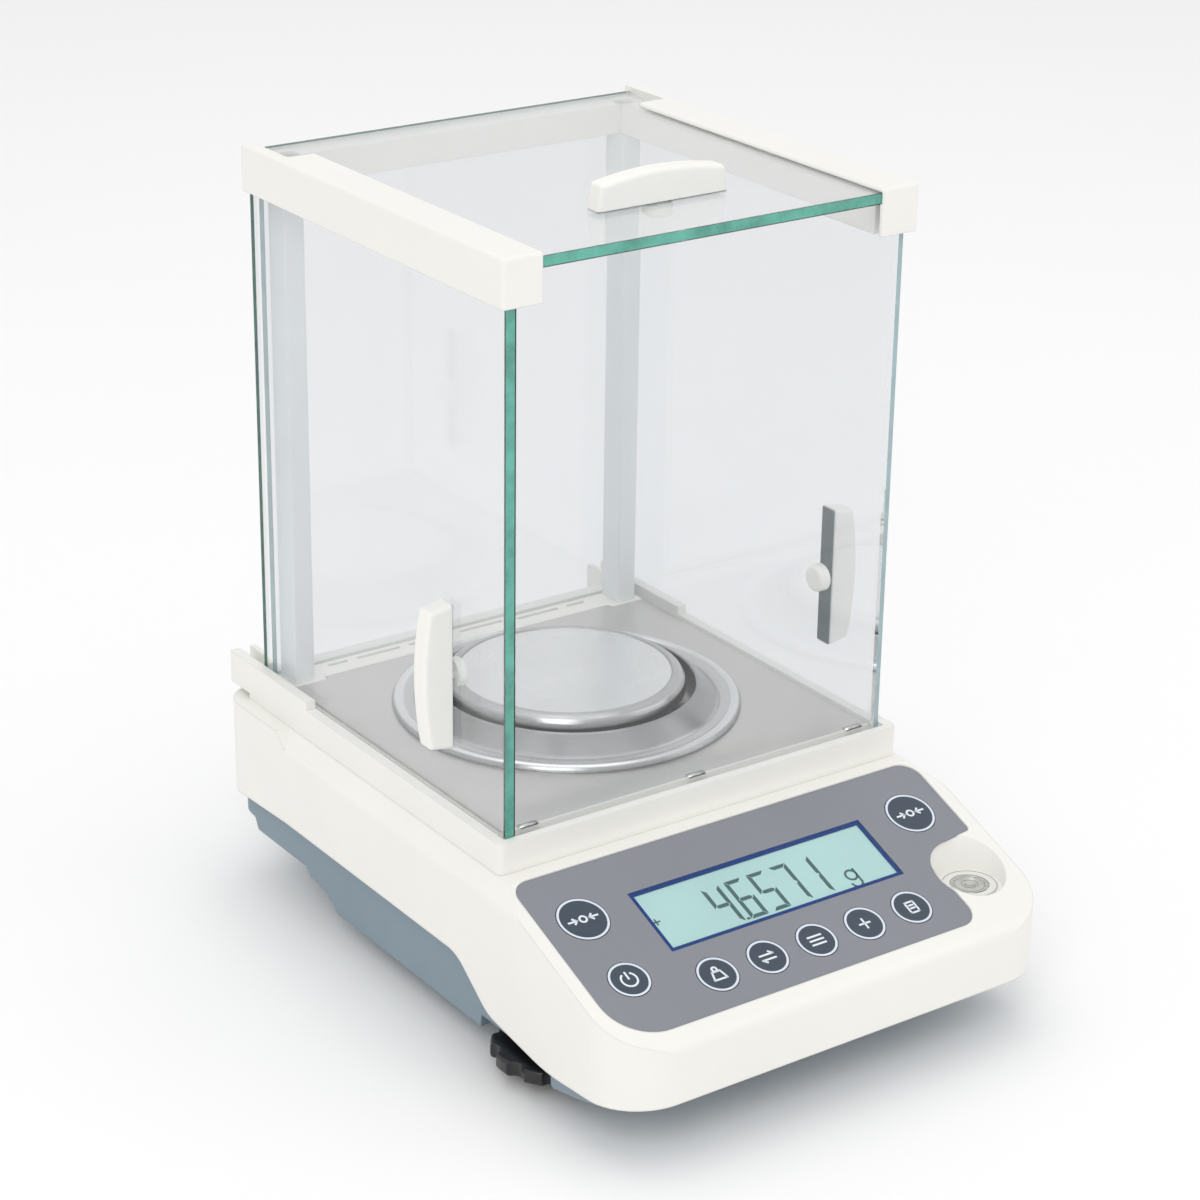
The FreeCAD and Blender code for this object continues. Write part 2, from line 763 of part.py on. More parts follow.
def make_columns():
    for side, sign in SIDES:
        bar = box(f"{side}_column_bar", (dim.column_inner * sign, dim.column_outer * sign),
                  (dim.column_front, dim.column_rear), (dim.base_top, dim.frame_bottom))
        screw_x = dim.column_screw_x * sign
        screw_y = dim.column_screw_y
        low_hole = cylinder(f"{side}_column_low_hole", 1.9, 16, (screw_x, screw_y, dim.base_top - 1))
        high_hole = cylinder(f"{side}_column_high_hole", 1.9, 16, (screw_x, screw_y, dim.frame_bottom - 15))
        rounded = soften(f"{side}_column_rounded", bar, 0.8,
                         lambda edge: abs(edge.tangentAt(edge.FirstParameter).z) > 0.9)
        finish(cut(f"{side}_column_cut", rounded, low_hole, high_hole), f"{side}_column")


def make_column_screws():
    screws = []
    for side, sign in SIDES:
        x = dim.column_screw_x * sign
        y = dim.column_screw_y
        low_shank = cylinder(f"{side}_low_shank", 1.8, 18, (x, y, dim.shell_top + 5.5))
        low_head = cylinder(f"{side}_low_head", 3.8, 3.0, (x, y, dim.shell_top + 2.8))
        high_shank = cylinder(f"{side}_high_shank", 1.8, 24, (x, y, dim.frame_bottom - 13))
        high_head = cylinder(f"{side}_high_head", 3.8, 1.8, (x, y, dim.frame_bottom + 10.2))
        screws.append(fuse(f"{side}_low_screw", low_shank, low_head))
        screws.append(fuse(f"{side}_high_screw", high_shank, high_head))
    finish(group("column_screw_group", screws), "column_screws")


def make_top_frame():
    solids = [box("frame_beam", (-dim.frame_inner - 1, dim.frame_inner + 1),
                  (dim.beam_front, dim.frame_rear), (dim.frame_bottom, dim.beam_top))]
    cuts = []
    channel_floor = dim.top_glass_top - dim.glass_thickness - 0.3
    channel_top = dim.top_glass_top + 0.3
    channel_side = dim.top_glass_half_width + 0.4
    channel_front = dim.top_glass_front - 0.3
    for side, sign in SIDES:
        rail = box(f"frame_{side}_bar", (dim.frame_inner * sign, dim.frame_half_width * sign),
                   (dim.frame_front, dim.frame_rear), (dim.frame_bottom, dim.frame_top))
        solids.append(soften(
            f"frame_{side}_rail", rail, 1.6,
            lambda edge: edge_middle(edge).z > dim.frame_top.number - 0.1
            or (edge_middle(edge).y < dim.frame_front.number + 0.1 and abs(edge_middle(edge).z - 340) < 5),
        ))
        cuts.append(box(f"frame_{side}_channel", ((dim.frame_inner - 2) * sign, channel_side * sign),
                        (channel_front, dim.frame_rear + 1), (channel_floor, channel_top)))
        cuts.append(box(f"frame_{side}_lip_end", ((dim.frame_inner - 2) * sign, channel_side * sign),
                        (110, dim.frame_rear + 1), (channel_floor + 1, dim.frame_top + 1)))
        cuts.append(box(f"frame_{side}_groove", (dim.groove_inner * sign, dim.groove_outer * sign),
                        (dim.front_groove, dim.frame_rear + 1), (dim.frame_bottom - 1, dim.door_top + 0.6)))
        cuts.append(box(f"frame_{side}_front_slot",
                        ((dim.frame_inner - 2) * sign, (dim.groove_inner + 1) * sign),
                        (dim.front_groove, dim.front_groove_back),
                        (dim.frame_bottom - 1, channel_floor + 1)))
        screw_x = dim.column_screw_x * sign
        screw_y = dim.column_screw_y
        cuts.append(cylinder(f"frame_{side}_screw_hole", 2.2, 30, (screw_x, screw_y, dim.frame_bottom - 5)))
        cuts.append(cylinder(f"frame_{side}_head_hole", 4.2, 5, (screw_x, screw_y, dim.frame_bottom + 10)))
    cuts.append(box("frame_rear_slot", (-dim.column_outer - 1.8, dim.column_outer + 1.8),
                    (dim.rear_glass_middle - 2.3, dim.rear_glass_middle + 2.3),
                    (dim.frame_bottom - 1, dim.frame_bottom + 5)))
    finish(cut("top_frame_cut", fuse("frame_solids", *solids), *cuts), "top_frame")


def make_fixed_glass():
    front = box("front_pane", (-dim.groove_inner, dim.groove_inner),
                (dim.front_glass_outer, dim.front_glass_outer + dim.glass_thickness),
                (dim.glass_bottom, dim.front_glass_top))
    finish(front, "front_glass")
    half = dim.rear_glass_thickness / 2
    rear = box("rear_pane", (-dim.column_outer - 1.5, dim.column_outer + 1.5),
               (dim.rear_glass_middle - half, dim.rear_glass_middle + half),
               (dim.glass_bottom, dim.frame_bottom + 4.5))
    finish(rear, "rear_glass")


def handle_frame(side):
    """Where a handle sits: its long way along local X, out of the glass along local Z."""
    if side == "top":
        return Placement(Vector(0, dim.top_handle_y.number, dim.top_glass_top.number), Rotation())
    sign = -1 if side == "left" else 1
    turn = Rotation(Vector(0, 0, 1), Vector(0, 1, 0), Vector(sign, 0, 0), "ZXY")
    return Placement(
        Vector(dim.door_outer.number * sign, dim.door_handle_y.number, dim.door_handle_z.number), turn)


def make_handle(side):
    """A bowed bar on a thin dark pad, held through the glass by a round nut with a stud."""
    frame = handle_frame(side)
    half = dim.handle_length / 2
    rise = dim.handle_depth - dim.handle_end_depth
    bow_radius = (half * half + rise * rise) / (2 * rise)
    block = prism(
        f"{side}_handle_block", "front",
        [(-half, dim.handle_pad), (half, dim.handle_pad), (half - 2.6, dim.handle_depth + 1),
         (-half + 2.6, dim.handle_depth + 1)],
        (-dim.handle_width / 2, dim.handle_width / 2),
    )
    bow = cylinder(f"{side}_handle_bow", bow_radius, dim.handle_width + 2,
                   (0, -dim.handle_width / 2 - 1, dim.handle_depth - bow_radius), "y")
    bar = common(f"{side}_handle_bar", block, bow)
    rounded = soften(f"{side}_handle_rounded", bar, 1.9,
                     lambda edge: edge_middle(edge).z > dim.handle_pad.number + 0.5)
    socket = cylinder(f"{side}_handle_socket", dim.stud_radius + 0.1, 7, (0, 0, -0.5))
    handle = cut(f"{side}_handle_cut", rounded, socket)
    handle.Placement = frame
    pad_half_width = dim.handle_width / 2 - 0.7
    pad = cut(
        f"{side}_pad_cut",
        box(f"{side}_pad_sheet", (-half + 0.8, half - 0.8), (-pad_half_width, pad_half_width),
            (0, dim.handle_pad)),
        cylinder(f"{side}_pad_hole", dim.stud_radius + 0.4, 3, (0, 0, -1)),
    )
    pad.Placement = frame
    head = cylinder(f"{side}_nut_head", dim.nut_radius, dim.nut_height,
                    (0, 0, -dim.glass_thickness - dim.nut_height))
    domed = soften(f"{side}_nut_domed", head, 1.8,
                   lambda edge: edge_middle(edge).z < -dim.glass_thickness.number - 1)
    stud = cylinder(f"{side}_nut_stud", dim.stud_radius, dim.glass_thickness + 6,
                    (0, 0, -dim.glass_thickness - 0.5))
    nut = fuse(f"{side}_nut_fused", domed, stud)
    nut.Placement = frame
    prefix = "top" if side == "top" else side
    finish(handle, f"{prefix}_door_handle")
    finish(pad, f"{prefix}_handle_pad")
    finish(nut, f"{prefix}_handle_nut")


def make_doors():
    for side, sign in SIDES:
        set_back = dim.right_door_set_back if side == "right" else 0
        inner = dim.door_outer - dim.glass_thickness
        pane = box(f"{side}_door_pane", (inner * sign, dim.door_outer * sign),
                   (dim.front_glass_outer + set_back, dim.door_rear + set_back),
                   (dim.glass_bottom, dim.door_top))
        hole = cylinder(f"{side}_door_hole", dim.stud_radius + 0.6, 20,
                        (dim.door_outer * sign - 10, dim.door_handle_y, dim.door_handle_z), "x")
        finish(cut(f"{side}_door_cut", pane, hole), f"{side}_door_glass")
        make_handle(side)
    pane = box("top_pane", (-dim.top_glass_half_width, dim.top_glass_half_width),
               (dim.top_glass_front, dim.top_glass_rear),
               (dim.top_glass_top - dim.glass_thickness, dim.top_glass_top))
    hole = cylinder("top_hole", dim.stud_radius + 0.6, 20, (0, dim.top_handle_y, dim.top_glass_top - 10))
    finish(cut("top_door_cut", pane, hole), "top_door_glass")
    make_handle("top")


# ---------------------------------------------------------------- pan and ring

def make_draft_ring():
    seat = dim.floor_recess + dim.plate_thickness + 0.1
    outer = dim.ring_radius
    inner = dim.ring_hole_radius
    ring = turned(
        "ring_section",
        [
            (outer, seat), (outer, seat + 0.9), (outer - 0.7, seat + 2.1), (outer - 2.3, seat + 2.8),
            (outer - 4.4, seat + 2.6), (outer - 5.4, seat + 2.1), (outer - 9.2, seat + 2.2),
            (outer - 9.8, seat + 1.7), (outer - 10.5, seat + 2.4), (inner + 1.6, dim.ring_top - 0.6),
            (inner + 0.6, dim.ring_top), (inner, dim.ring_top - 0.5), (inner, dim.ring_top - 1.8),
            (outer - 11.0, seat + 1.0), (outer - 5.2, seat + 0.8), (outer - 4.0, seat + 1.3),
            (outer - 2.2, seat + 1.5), (outer - 1.3, seat + 0.8), (outer - 1.3, seat),
        ],
        (0, dim.ring_centre, 0),
    )
    finish(ring, "draft_ring")


def make_pan():
    top = dim.pan_top
    edge = dim.pan_radius
    flat = dim.pan_flat_radius
    pan = turned(
        "pan_section",
        [
            (0, top - 0.5), (flat - 0.4, top - 0.5), (flat + 0.3, top - 0.1), (flat + 1.4, top),
            (edge - 3.4, top - 0.4), (edge - 1.7, top - 1.5), (edge - 0.5, top - 3.2), (edge, top - 5.2),
            (edge - 0.1, dim.pan_edge), (edge - 1.1, dim.pan_edge), (edge - 1.2, top - 5.1),
            (edge - 1.8, top - 3.6), (edge - 2.8, top - 2.4), (edge - 4.2, top - 1.5),
            (flat + 0.3, top - 1.2), (flat - 0.6, top - 1.5), (9, top - 1.5),
            (9, top - 7.1), (4.0, top - 7.1), (3.8, top - 3.4),
            (0, top - 3.4),
        ],
        (0, dim.pan_centre, 0),
    )
    finish(pan, "weighing_pan")


def make_pan_carrier():
    centre = dim.pan_centre
    solids = [
        cylinder("carrier_post", 4, dim.pan_top - 8.3 - 78, (0, centre, 78)),
        cylinder("carrier_seat", 9, 1.6, (0, centre, dim.pan_top - 8.9)),
        cone("carrier_pin", 3.6, 3.4, 3.4, (0, centre, dim.pan_top - 7.5)),
        box("carrier_hanger", (-9, 9), (centre - 6, centre + 6), (44, 80)),
    ]
    finish(fuse("pan_carrier_fused", *solids), "pan_carrier")


# ---------------------------------------------------------------- front panel

def make_overlay():
    sheet_body = overlay_outline("overlay_sheet", 0, -dim.overlay_recess + 0.05,
                                 -dim.overlay_recess + 0.05 + dim.overlay_thickness)
    cuts = [panel_box("overlay_window", (-dim.display_half_width, dim.display_half_width),
                      (dim.display_top, dim.display_bottom), (-3, 3))]
    cuts += [
        panel_cylinder(f"overlay_{name}_hole", radius + dim.key_gap, across, down, (-3, 3))
        for name, across, down, radius in KEYS
    ]
    finish(cut("keypad_overlay_cut", sheet_body, *cuts), "keypad_overlay")


def make_keys():
    for name, across, down, radius in KEYS:
        cap = panel_cylinder(f"{name}_cap", radius, across, down, (-1.7, -0.45))
        plunger = panel_cylinder(f"{name}_plunger", 2.0, across, down, (-5.2, -1.6))
        finish(fuse(f"{name}_fused", cap, plunger), name)
    switches = [
        panel_box(f"{name}_switch", (across - 3, across + 3), (down - 3, down + 3), (-8.2, -6.0))
        for name, across, down, radius in KEYS
    ]
    finish(group("key_switch_group", switches), "key_switches")


def make_display():
    half = dim.display_half_width
    top = dim.display_top
    bottom = dim.display_bottom
    window = panel_box("window_sheet", (-half + 0.1, half - 0.1), (top + 0.1, bottom - 0.1), (-1.0, -0.55))
    finish(window, "display_window")
    bezel = cut(
        "bezel_cut",
        panel_box("bezel_sheet", (-half + 0.1, half - 0.1), (top + 0.1, bottom - 0.1), (-1.45, -1.05)),
        panel_box("bezel_window", (-half + 2.0, half - 2.0), (top + 2.0, bottom - 2.0), (-3, 3)),
    )
    finish(bezel, "display_bezel")
    module = panel_box("module_block", (-half - 1.5, half + 1.5), (top - 1.5, bottom + 1.5), (-7.0, -1.5))
    finish(module, "display_module")
    board = fuse(
        "display_board_form",
        panel_box("display_board_sheet", (-99, 66), (8, 88), (-9.8, -8.2)),
        panel_box("display_board_wing", (60, 99), (8, 42), (-9.8, -8.2)),
    )
    finish(board, "display_board")


def make_level():
    x, y, floor = dim.level_x, dim.level_y, dim.level_floor
    flange = cylinder("level_flange", dim.level_radius + 1.6, 0.5, (x, y, floor))
    cup = cylinder("level_cup", dim.level_radius, 6.5, (x, y, floor - 6))
    well = cylinder("level_well", dim.level_radius - 1.8, 10, (x, y, floor - 4.5))
    finish(cut("level_housing_cut", fuse("level_form", flange, cup), well), "level_housing")
    vial = cylinder("level_vial_body", dim.level_radius - 2.0, 4.8, (x, y, floor - 4.4))
    domed = soften("level_vial_domed", vial, 0.8, lambda edge: edge_middle(edge).z > floor.number)
    finish(domed, "level_vial")


# ---------------------------------------------------------------- weighing cell and electronics

def make_cell():
    base = box("cell_plate", (-40, 40), (-20, 122), (28, 36))
    solids = [base, box("cell_upright", (-20, 20), (-20, -8), (35, 80))]
    low_floor = dim.chassis_floor + dim.chassis_wall
    high_floor = dim.chassis_step_floor + dim.chassis_wall
    leg_rows = ((-14, low_floor), (62, low_floor), (114, high_floor))
    legs = [(x, y, floor) for y, floor in leg_rows for x in (-34, 34)]
    for number, (x, y, floor) in enumerate(legs):
        solids.append(cylinder(f"cell_leg{number}", 5, 29 - floor, (x, y, floor)))
    for side, sign in SIDES:
        solids.append(box(f"cell_{side}_cheek", (7 * sign, 14 * sign), (52, 62), (35, 68)))
    finish(fuse("cell_base_fused", *solids), "cell_base")
    guides = [
        box("guide_upper", (-9, 9), (-7.6, 35.6), (74, 76)),
        box("guide_lower", (-9, 9), (-7.6, 35.6), (47, 49)),
    ]
    finish(group("guide_group", guides), "parallel_guides")
    pot = cylinder("pot_body", 20, 22, (0, 100, 36.2))
    gap = cut(
        "pot_gap",
        cylinder("pot_gap_outer", 16, 30, (0, 100, 42)),
        cylinder("pot_core", 9, 40, (0, 100, 40)),
    )
    finish(cut("magnet_pot_cut", pot, gap), "magnet_pot")
    beam = box("beam_bar", (-5, 5), (49.5, 114), (62, 68))
    pivot = cylinder("beam_pivot", 1.8, 12, (-6, 57, 65), "x")
    finish(fuse("lever_fused", beam, pivot), "lever_beam")
    coil = cut(
        "coil_cut",
        cylinder("coil_outer", 14, 16, (0, 100, 46)),
        cylinder("coil_inner", 11, 30, (0, 100, 40)),
    )
    finish(coil, "force_coil")


def make_electronics():
    finish(box("main_board_sheet", (-92, -46), (-20, 66), (18, 19.6)), "main_board")
    floor = dim.chassis_floor + dim.chassis_wall
    stand_offs = [
        cylinder(f"stand_off{number}", 2.5, 18 - floor, (x, y, floor))
        for number, (x, y) in enumerate([(-88, -14), (-50, -14), (-88, 60), (-50, 60)])
    ]
    finish(group("stand_off_group", stand_offs), "board_standoffs")
    plate_front = dim.shell_rear - 4
    plate = box("connector_sheet", (-36, 66), (plate_front, dim.shell_rear - 2.7), (50, 84))
    jack_hole = cylinder("connector_jack_hole", 5.7, 20, (-15, 140, 67), "y")
    port_hole = box("connector_port_hole", (20.2, 39.8), (140, 160), (61.2, 72.8))
    screw_holes = [
        cylinder(f"connector_screw_hole{number}", 1.8, 20, (30 + 12.495 * sign, 140, 67), "y")
        for number, sign in enumerate((-1, 1))
    ]
    finish(cut("connector_plate_cut", plate, jack_hole, port_hole, *screw_holes), "connector_plate")
    jack = cut(
        "jack_cut",
        fuse("jack_form", cylinder("jack_barrel", 5.5, 14, (-15, 142, 67), "y"),
             cylinder("jack_flange", 7.0, 1.5, (-15, 155.6, 67), "y")),
        cylinder("jack_bore", 2.85, 12, (-15, 146.5, 67), "y"),
    )
    finish(fuse("jack_fused", jack, cylinder("jack_pin", 1.0, 9, (-15, 146, 67), "y")), "power_inlet")
    shell = prism(
        "port_shell", "front",
        [(21, 72), (22.4, 62), (37.6, 62), (39, 72)],
        (144, 159.5),
        [(0, 1.5), (1, 1.5), (2, 1.5), (3, 1.5)],
    )
    socket = box("port_socket", (23.5, 36.5), (153.5, 162), (63.5, 70.5))
    finish(cut("data_port_cut", shell, socket), "data_port")
    posts = []
    for number, sign in enumerate((-1, 1)):
        x = 30 + 12.495 * sign
        post = fuse(f"jackscrew{number}", cylinder(f"jackscrew_head{number}", 2.6, 4, (x, 155.6, 67), "y"),
                    cylinder(f"jackscrew_shank{number}", 1.6, 8, (x, 148, 67), "y"))
        bore = cylinder(f"jackscrew_bore{number}", 1.1, 6, (x, 154, 67), "y")
        posts.append(cut(f"jackscrew_cut{number}", post, bore))
    finish(group("jackscrew_group", posts), "data_port_jackscrews")


# ---------------------------------------------------------------- feet

def make_feet():
    inserts = []
    rear_feet = []
    lobes = 10
    for side, sign in SIDES:
        x = dim.foot_x * sign
        y = dim.foot_y
        height = dim.knob_top - dim.knob_bottom
        disc = cylinder(f"{side}_knob_disc", dim.knob_radius, height, (x, y, dim.knob_bottom))
        rim = soften(f"{side}_knob_rim", disc, 1.5, lambda edge: edge.Length > 100)
        bites = []
        for number in range(lobes):
            angle = 2 * math.pi * (number + 0.5) / lobes
            reach = dim.knob_radius + 1.4
            middle = (x + reach * math.cos(angle), y + reach * math.sin(angle), 0)
            bites.append(cylinder(f"{side}_bite{number}", 4.8, 20, middle))
        hub = cylinder(f"{side}_knob_hub", 9, 6.8, (x, y, dim.knob_bottom))
        stud = cylinder(f"{side}_foot_stud", dim.foot_stud_radius, 38, (x, y, 3.2))
        knob = fuse(f"{side}_knob_fused", cut(f"{side}_knob_cut", rim, *bites), hub, stud)
        finish(knob, f"{side}_foot_knob")
        pad = cut(
            f"{side}_foot_pad_cut",
            cone(f"{side}_foot_cone", 12, 9, 6.4, (x, y, 0)),
            cylinder(f"{side}_foot_socket", dim.foot_stud_radius + 0.3, 10, (x, y, 3.0)),
        )
        finish(pad, f"{side}_foot_pad")
        inserts.append(cut(
            f"{side}_insert_cut",
            cylinder(f"{side}_insert_body", 7.5, 10, (x, y, dim.chassis_nose_floor + dim.chassis_wall)),
            cylinder(f"{side}_insert_bore", dim.foot_stud_radius + 0.08, 40, (x, y, 5)),
        ))
        rear_x = dim.rear_foot_x * sign
        rear_feet.append(fuse(
            f"{side}_rear_foot",
            cone(f"{side}_rear_cone", 9, 12, dim.chassis_step_floor, (rear_x, dim.rear_foot_y, 0)),
            cylinder(f"{side}_rear_plug", 3.0, 8, (rear_x, dim.rear_foot_y, dim.chassis_step_floor - 2)),
        ))
    finish(group("insert_group", inserts), "foot_inserts")
    finish(group("rear_foot_group", rear_feet), "rear_feet")


def check_and_write():
    doc.recompute()
    for item in doc.Objects:
        faults = [state for state in item.State if state in ("Invalid", "Error")]
        if faults:
            raise RuntimeError(f"{item.Name} did not recompute: {faults}")
    os.makedirs("parts", exist_ok=True)
    for item in parts:
        shape = item.Shape
        if shape.isNull() or not shape.isValid() or not shape.Solids:
            raise RuntimeError(f"{item.Label} has no sound shape")
        shape.exportStep(os.path.join("parts", item.Label + ".step"))
        print(f"{item.Label}: {len(shape.Solids)} solid(s), {shape.Volume / 1000:.2f} cm3")
    print(f"{len(parts)} nodes")


make_upper_shell()
make_lower_chassis()
make_chassis_screws()
make_shield_base()
make_floor_plate()
make_columns()
make_column_screws()
make_top_frame()
make_fixed_glass()
make_doors()
make_draft_ring()
make_pan()
make_pan_carrier()
make_overlay()
make_keys()
make_display()
make_level()
make_cell()
make_electronics()
make_feet()
check_and_write()
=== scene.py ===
import json
import math

import bmesh
import bpy
from mathutils import Matrix, Vector


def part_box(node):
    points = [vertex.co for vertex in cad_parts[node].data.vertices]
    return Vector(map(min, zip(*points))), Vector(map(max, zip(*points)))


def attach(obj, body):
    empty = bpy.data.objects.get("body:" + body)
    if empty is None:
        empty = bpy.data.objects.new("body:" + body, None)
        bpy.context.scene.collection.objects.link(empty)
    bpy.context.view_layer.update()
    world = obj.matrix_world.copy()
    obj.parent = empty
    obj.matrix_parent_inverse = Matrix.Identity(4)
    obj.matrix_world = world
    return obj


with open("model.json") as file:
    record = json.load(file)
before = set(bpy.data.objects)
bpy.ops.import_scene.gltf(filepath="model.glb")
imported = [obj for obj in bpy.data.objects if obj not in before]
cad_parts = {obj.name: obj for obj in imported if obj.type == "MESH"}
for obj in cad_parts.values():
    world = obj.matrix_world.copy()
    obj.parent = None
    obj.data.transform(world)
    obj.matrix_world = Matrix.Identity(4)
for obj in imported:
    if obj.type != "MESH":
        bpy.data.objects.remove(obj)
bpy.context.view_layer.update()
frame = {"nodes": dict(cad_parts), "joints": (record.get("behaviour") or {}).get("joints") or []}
nodes = frame["nodes"]
MM = 0.001
# Heights of printed marks over their own surface, from their lower to their upper face.
KEY_PRINT = (-0.01 * MM, 0.06 * MM)
DISPLAY_PRINT = (0.02 * MM, 0.12 * MM)
LEVEL_PRINT = (0.02 * MM, 0.10 * MM)
GLASS_END_SKIN = 0.08 * MM


# ------------------------------------------------------------ materials

def new_material(name):
    mat = bpy.data.materials.new(name)
    mat.use_nodes = True
    tree = mat.node_tree
    shader = tree.nodes["Principled BSDF"]
    return mat, tree, shader


def noise(tree, scale, detail=3.0, stretch=None, source="Object"):
    """A noise texture in the piece's own coordinates, in features per metre."""
    coords = tree.nodes.new("ShaderNodeTexCoord")
    texture = tree.nodes.new("ShaderNodeTexNoise")
    texture.inputs["Scale"].default_value = scale
    texture.inputs["Detail"].default_value = detail
    if stretch:
        mapping = tree.nodes.new("ShaderNodeMapping")
        mapping.inputs["Scale"].default_value = stretch
        tree.links.new(coords.outputs[source], mapping.inputs["Vector"])
        tree.links.new(mapping.outputs["Vector"], texture.inputs["Vector"])
    else:
        tree.links.new(coords.outputs[source], texture.inputs["Vector"])
    return texture.outputs["Fac"]


def axis_distance(tree, centre):
    """Distance of each point from a vertical axis."""
    coords = tree.nodes.new("ShaderNodeTexCoord")
    shift = tree.nodes.new("ShaderNodeVectorMath")
    shift.operation = "SUBTRACT"
    shift.inputs[1].default_value = (centre.x, centre.y, 0)
    flat = tree.nodes.new("ShaderNodeVectorMath")
    flat.operation = "MULTIPLY"
    flat.inputs[1].default_value = (1, 1, 0)
    length = tree.nodes.new("ShaderNodeVectorMath")
    length.operation = "LENGTH"
    tree.links.new(coords.outputs["Object"], shift.inputs[0])
    tree.links.new(shift.outputs["Vector"], flat.inputs[0])
    tree.links.new(flat.outputs["Vector"], length.inputs[0])
    return length.outputs["Value"]


def spun(tree, centre, rings):
    """Fine concentric lines round a vertical axis."""
    texture = tree.nodes.new("ShaderNodeTexNoise")
    texture.noise_dimensions = "1D"
    texture.inputs["Scale"].default_value = rings
    texture.inputs["Detail"].default_value = 2.0
    tree.links.new(axis_distance(tree, centre), texture.inputs["W"])
    return texture.outputs["Fac"]


def radial_painted_shade(tree, centre, tones):
    """Painted shade and painted highlights of a turned piece, as brightness steps by radius that
    stand in for how light falls on its slopes, grooves and rims; tones are (radius in mm,
    brightness).
    """
    reach = tones[-1][0] * MM
    scaled = tree.nodes.new("ShaderNodeMath")
    scaled.operation = "DIVIDE"
    scaled.inputs[1].default_value = reach
    tree.links.new(axis_distance(tree, centre), scaled.inputs[0])
    ramp = tree.nodes.new("ShaderNodeValToRGB")
    stops = ramp.color_ramp.elements
    stops[0].position, stops[1].position = 0, 1
    stops[0].color = (*[tones[0][1]] * 3, 1)
    stops[1].color = (*[tones[-1][1]] * 3, 1)
    for radius, tone in tones[1:-1]:
        stops.new(radius * MM / reach).color = (tone, tone, tone, 1)
    tree.links.new(scaled.outputs["Value"], ramp.inputs["Fac"])
    return ramp.outputs["Color"]


def vary(tree, source, low, high):
    node = tree.nodes.new("ShaderNodeMapRange")
    node.inputs["To Min"].default_value = low
    node.inputs["To Max"].default_value = high
    tree.links.new(source, node.inputs["Value"])
    return node.outputs["Result"]


def finish(name, color, rough=0.4, metallic=0.0, tint=0.03, rough_spread=0.06, grain=1800,
           bump=0.02, patch=22, edge=0.0, coat=0.0, specular=0.5, pattern=None, stretch=None,
           shade_bands=None):
    """A material with slight colour patches, varied roughness and a fine grain."""
    mat, tree, shader = new_material(name)
    shader.inputs["Metallic"].default_value = metallic
    shader.inputs["Coat Weight"].default_value = coat
    shader.inputs["Specular IOR Level"].default_value = specular
    patches = noise(tree, patch, 4.0)
    grains = pattern(tree) if pattern else noise(tree, grain, 2.0, stretch)
    ramp = tree.nodes.new("ShaderNodeValToRGB")
    ramp.color_ramp.elements[0].position = 0.3
    ramp.color_ramp.elements[1].position = 0.7
    ramp.color_ramp.elements[0].color = (*[c * (1 - tint) for c in color], 1)
    ramp.color_ramp.elements[1].color = (*[min(1, c * (1 + tint)) for c in color], 1)
    tree.links.new(patches, ramp.inputs["Fac"])
    # Painted shade: when given, the colour is multiplied by brightness steps by radius.
    if shade_bands:
        shade_mix = tree.nodes.new("ShaderNodeVectorMath")
        shade_mix.operation = "MULTIPLY"
        tree.links.new(ramp.outputs["Color"], shade_mix.inputs[0])
        tree.links.new(shade_bands(tree), shade_mix.inputs[1])
        tree.links.new(shade_mix.outputs["Vector"], shader.inputs["Base Color"])
    else:
        tree.links.new(ramp.outputs["Color"], shader.inputs["Base Color"])
    mixed = tree.nodes.new("ShaderNodeMath")
    mixed.operation = "MULTIPLY_ADD"
    mixed.inputs[1].default_value = 0.6
    tree.links.new(grains, mixed.inputs[0])
    half = tree.nodes.new("ShaderNodeMath")
    half.operation = "MULTIPLY"
    half.inputs[1].default_value = 0.4
    tree.links.new(patches, half.inputs[0])
    tree.links.new(half.outputs["Value"], mixed.inputs[2])
    low, high = max(0.02, rough - rough_spread), min(1, rough + rough_spread)
    tree.links.new(vary(tree, mixed.outputs["Value"], low, high), shader.inputs["Roughness"])
    relief = tree.nodes.new("ShaderNodeBump")
    relief.inputs["Strength"].default_value = bump
    relief.inputs["Distance"].default_value = 0.0004
    tree.links.new(grains, relief.inputs["Height"])
    if edge:
        rounded = tree.nodes.new("ShaderNodeBevel")
        rounded.samples = 8
        rounded.inputs["Radius"].default_value = edge
        tree.links.new(rounded.outputs["Normal"], relief.inputs["Normal"])
    tree.links.new(relief.outputs["Normal"], shader.inputs["Normal"])
    return mat


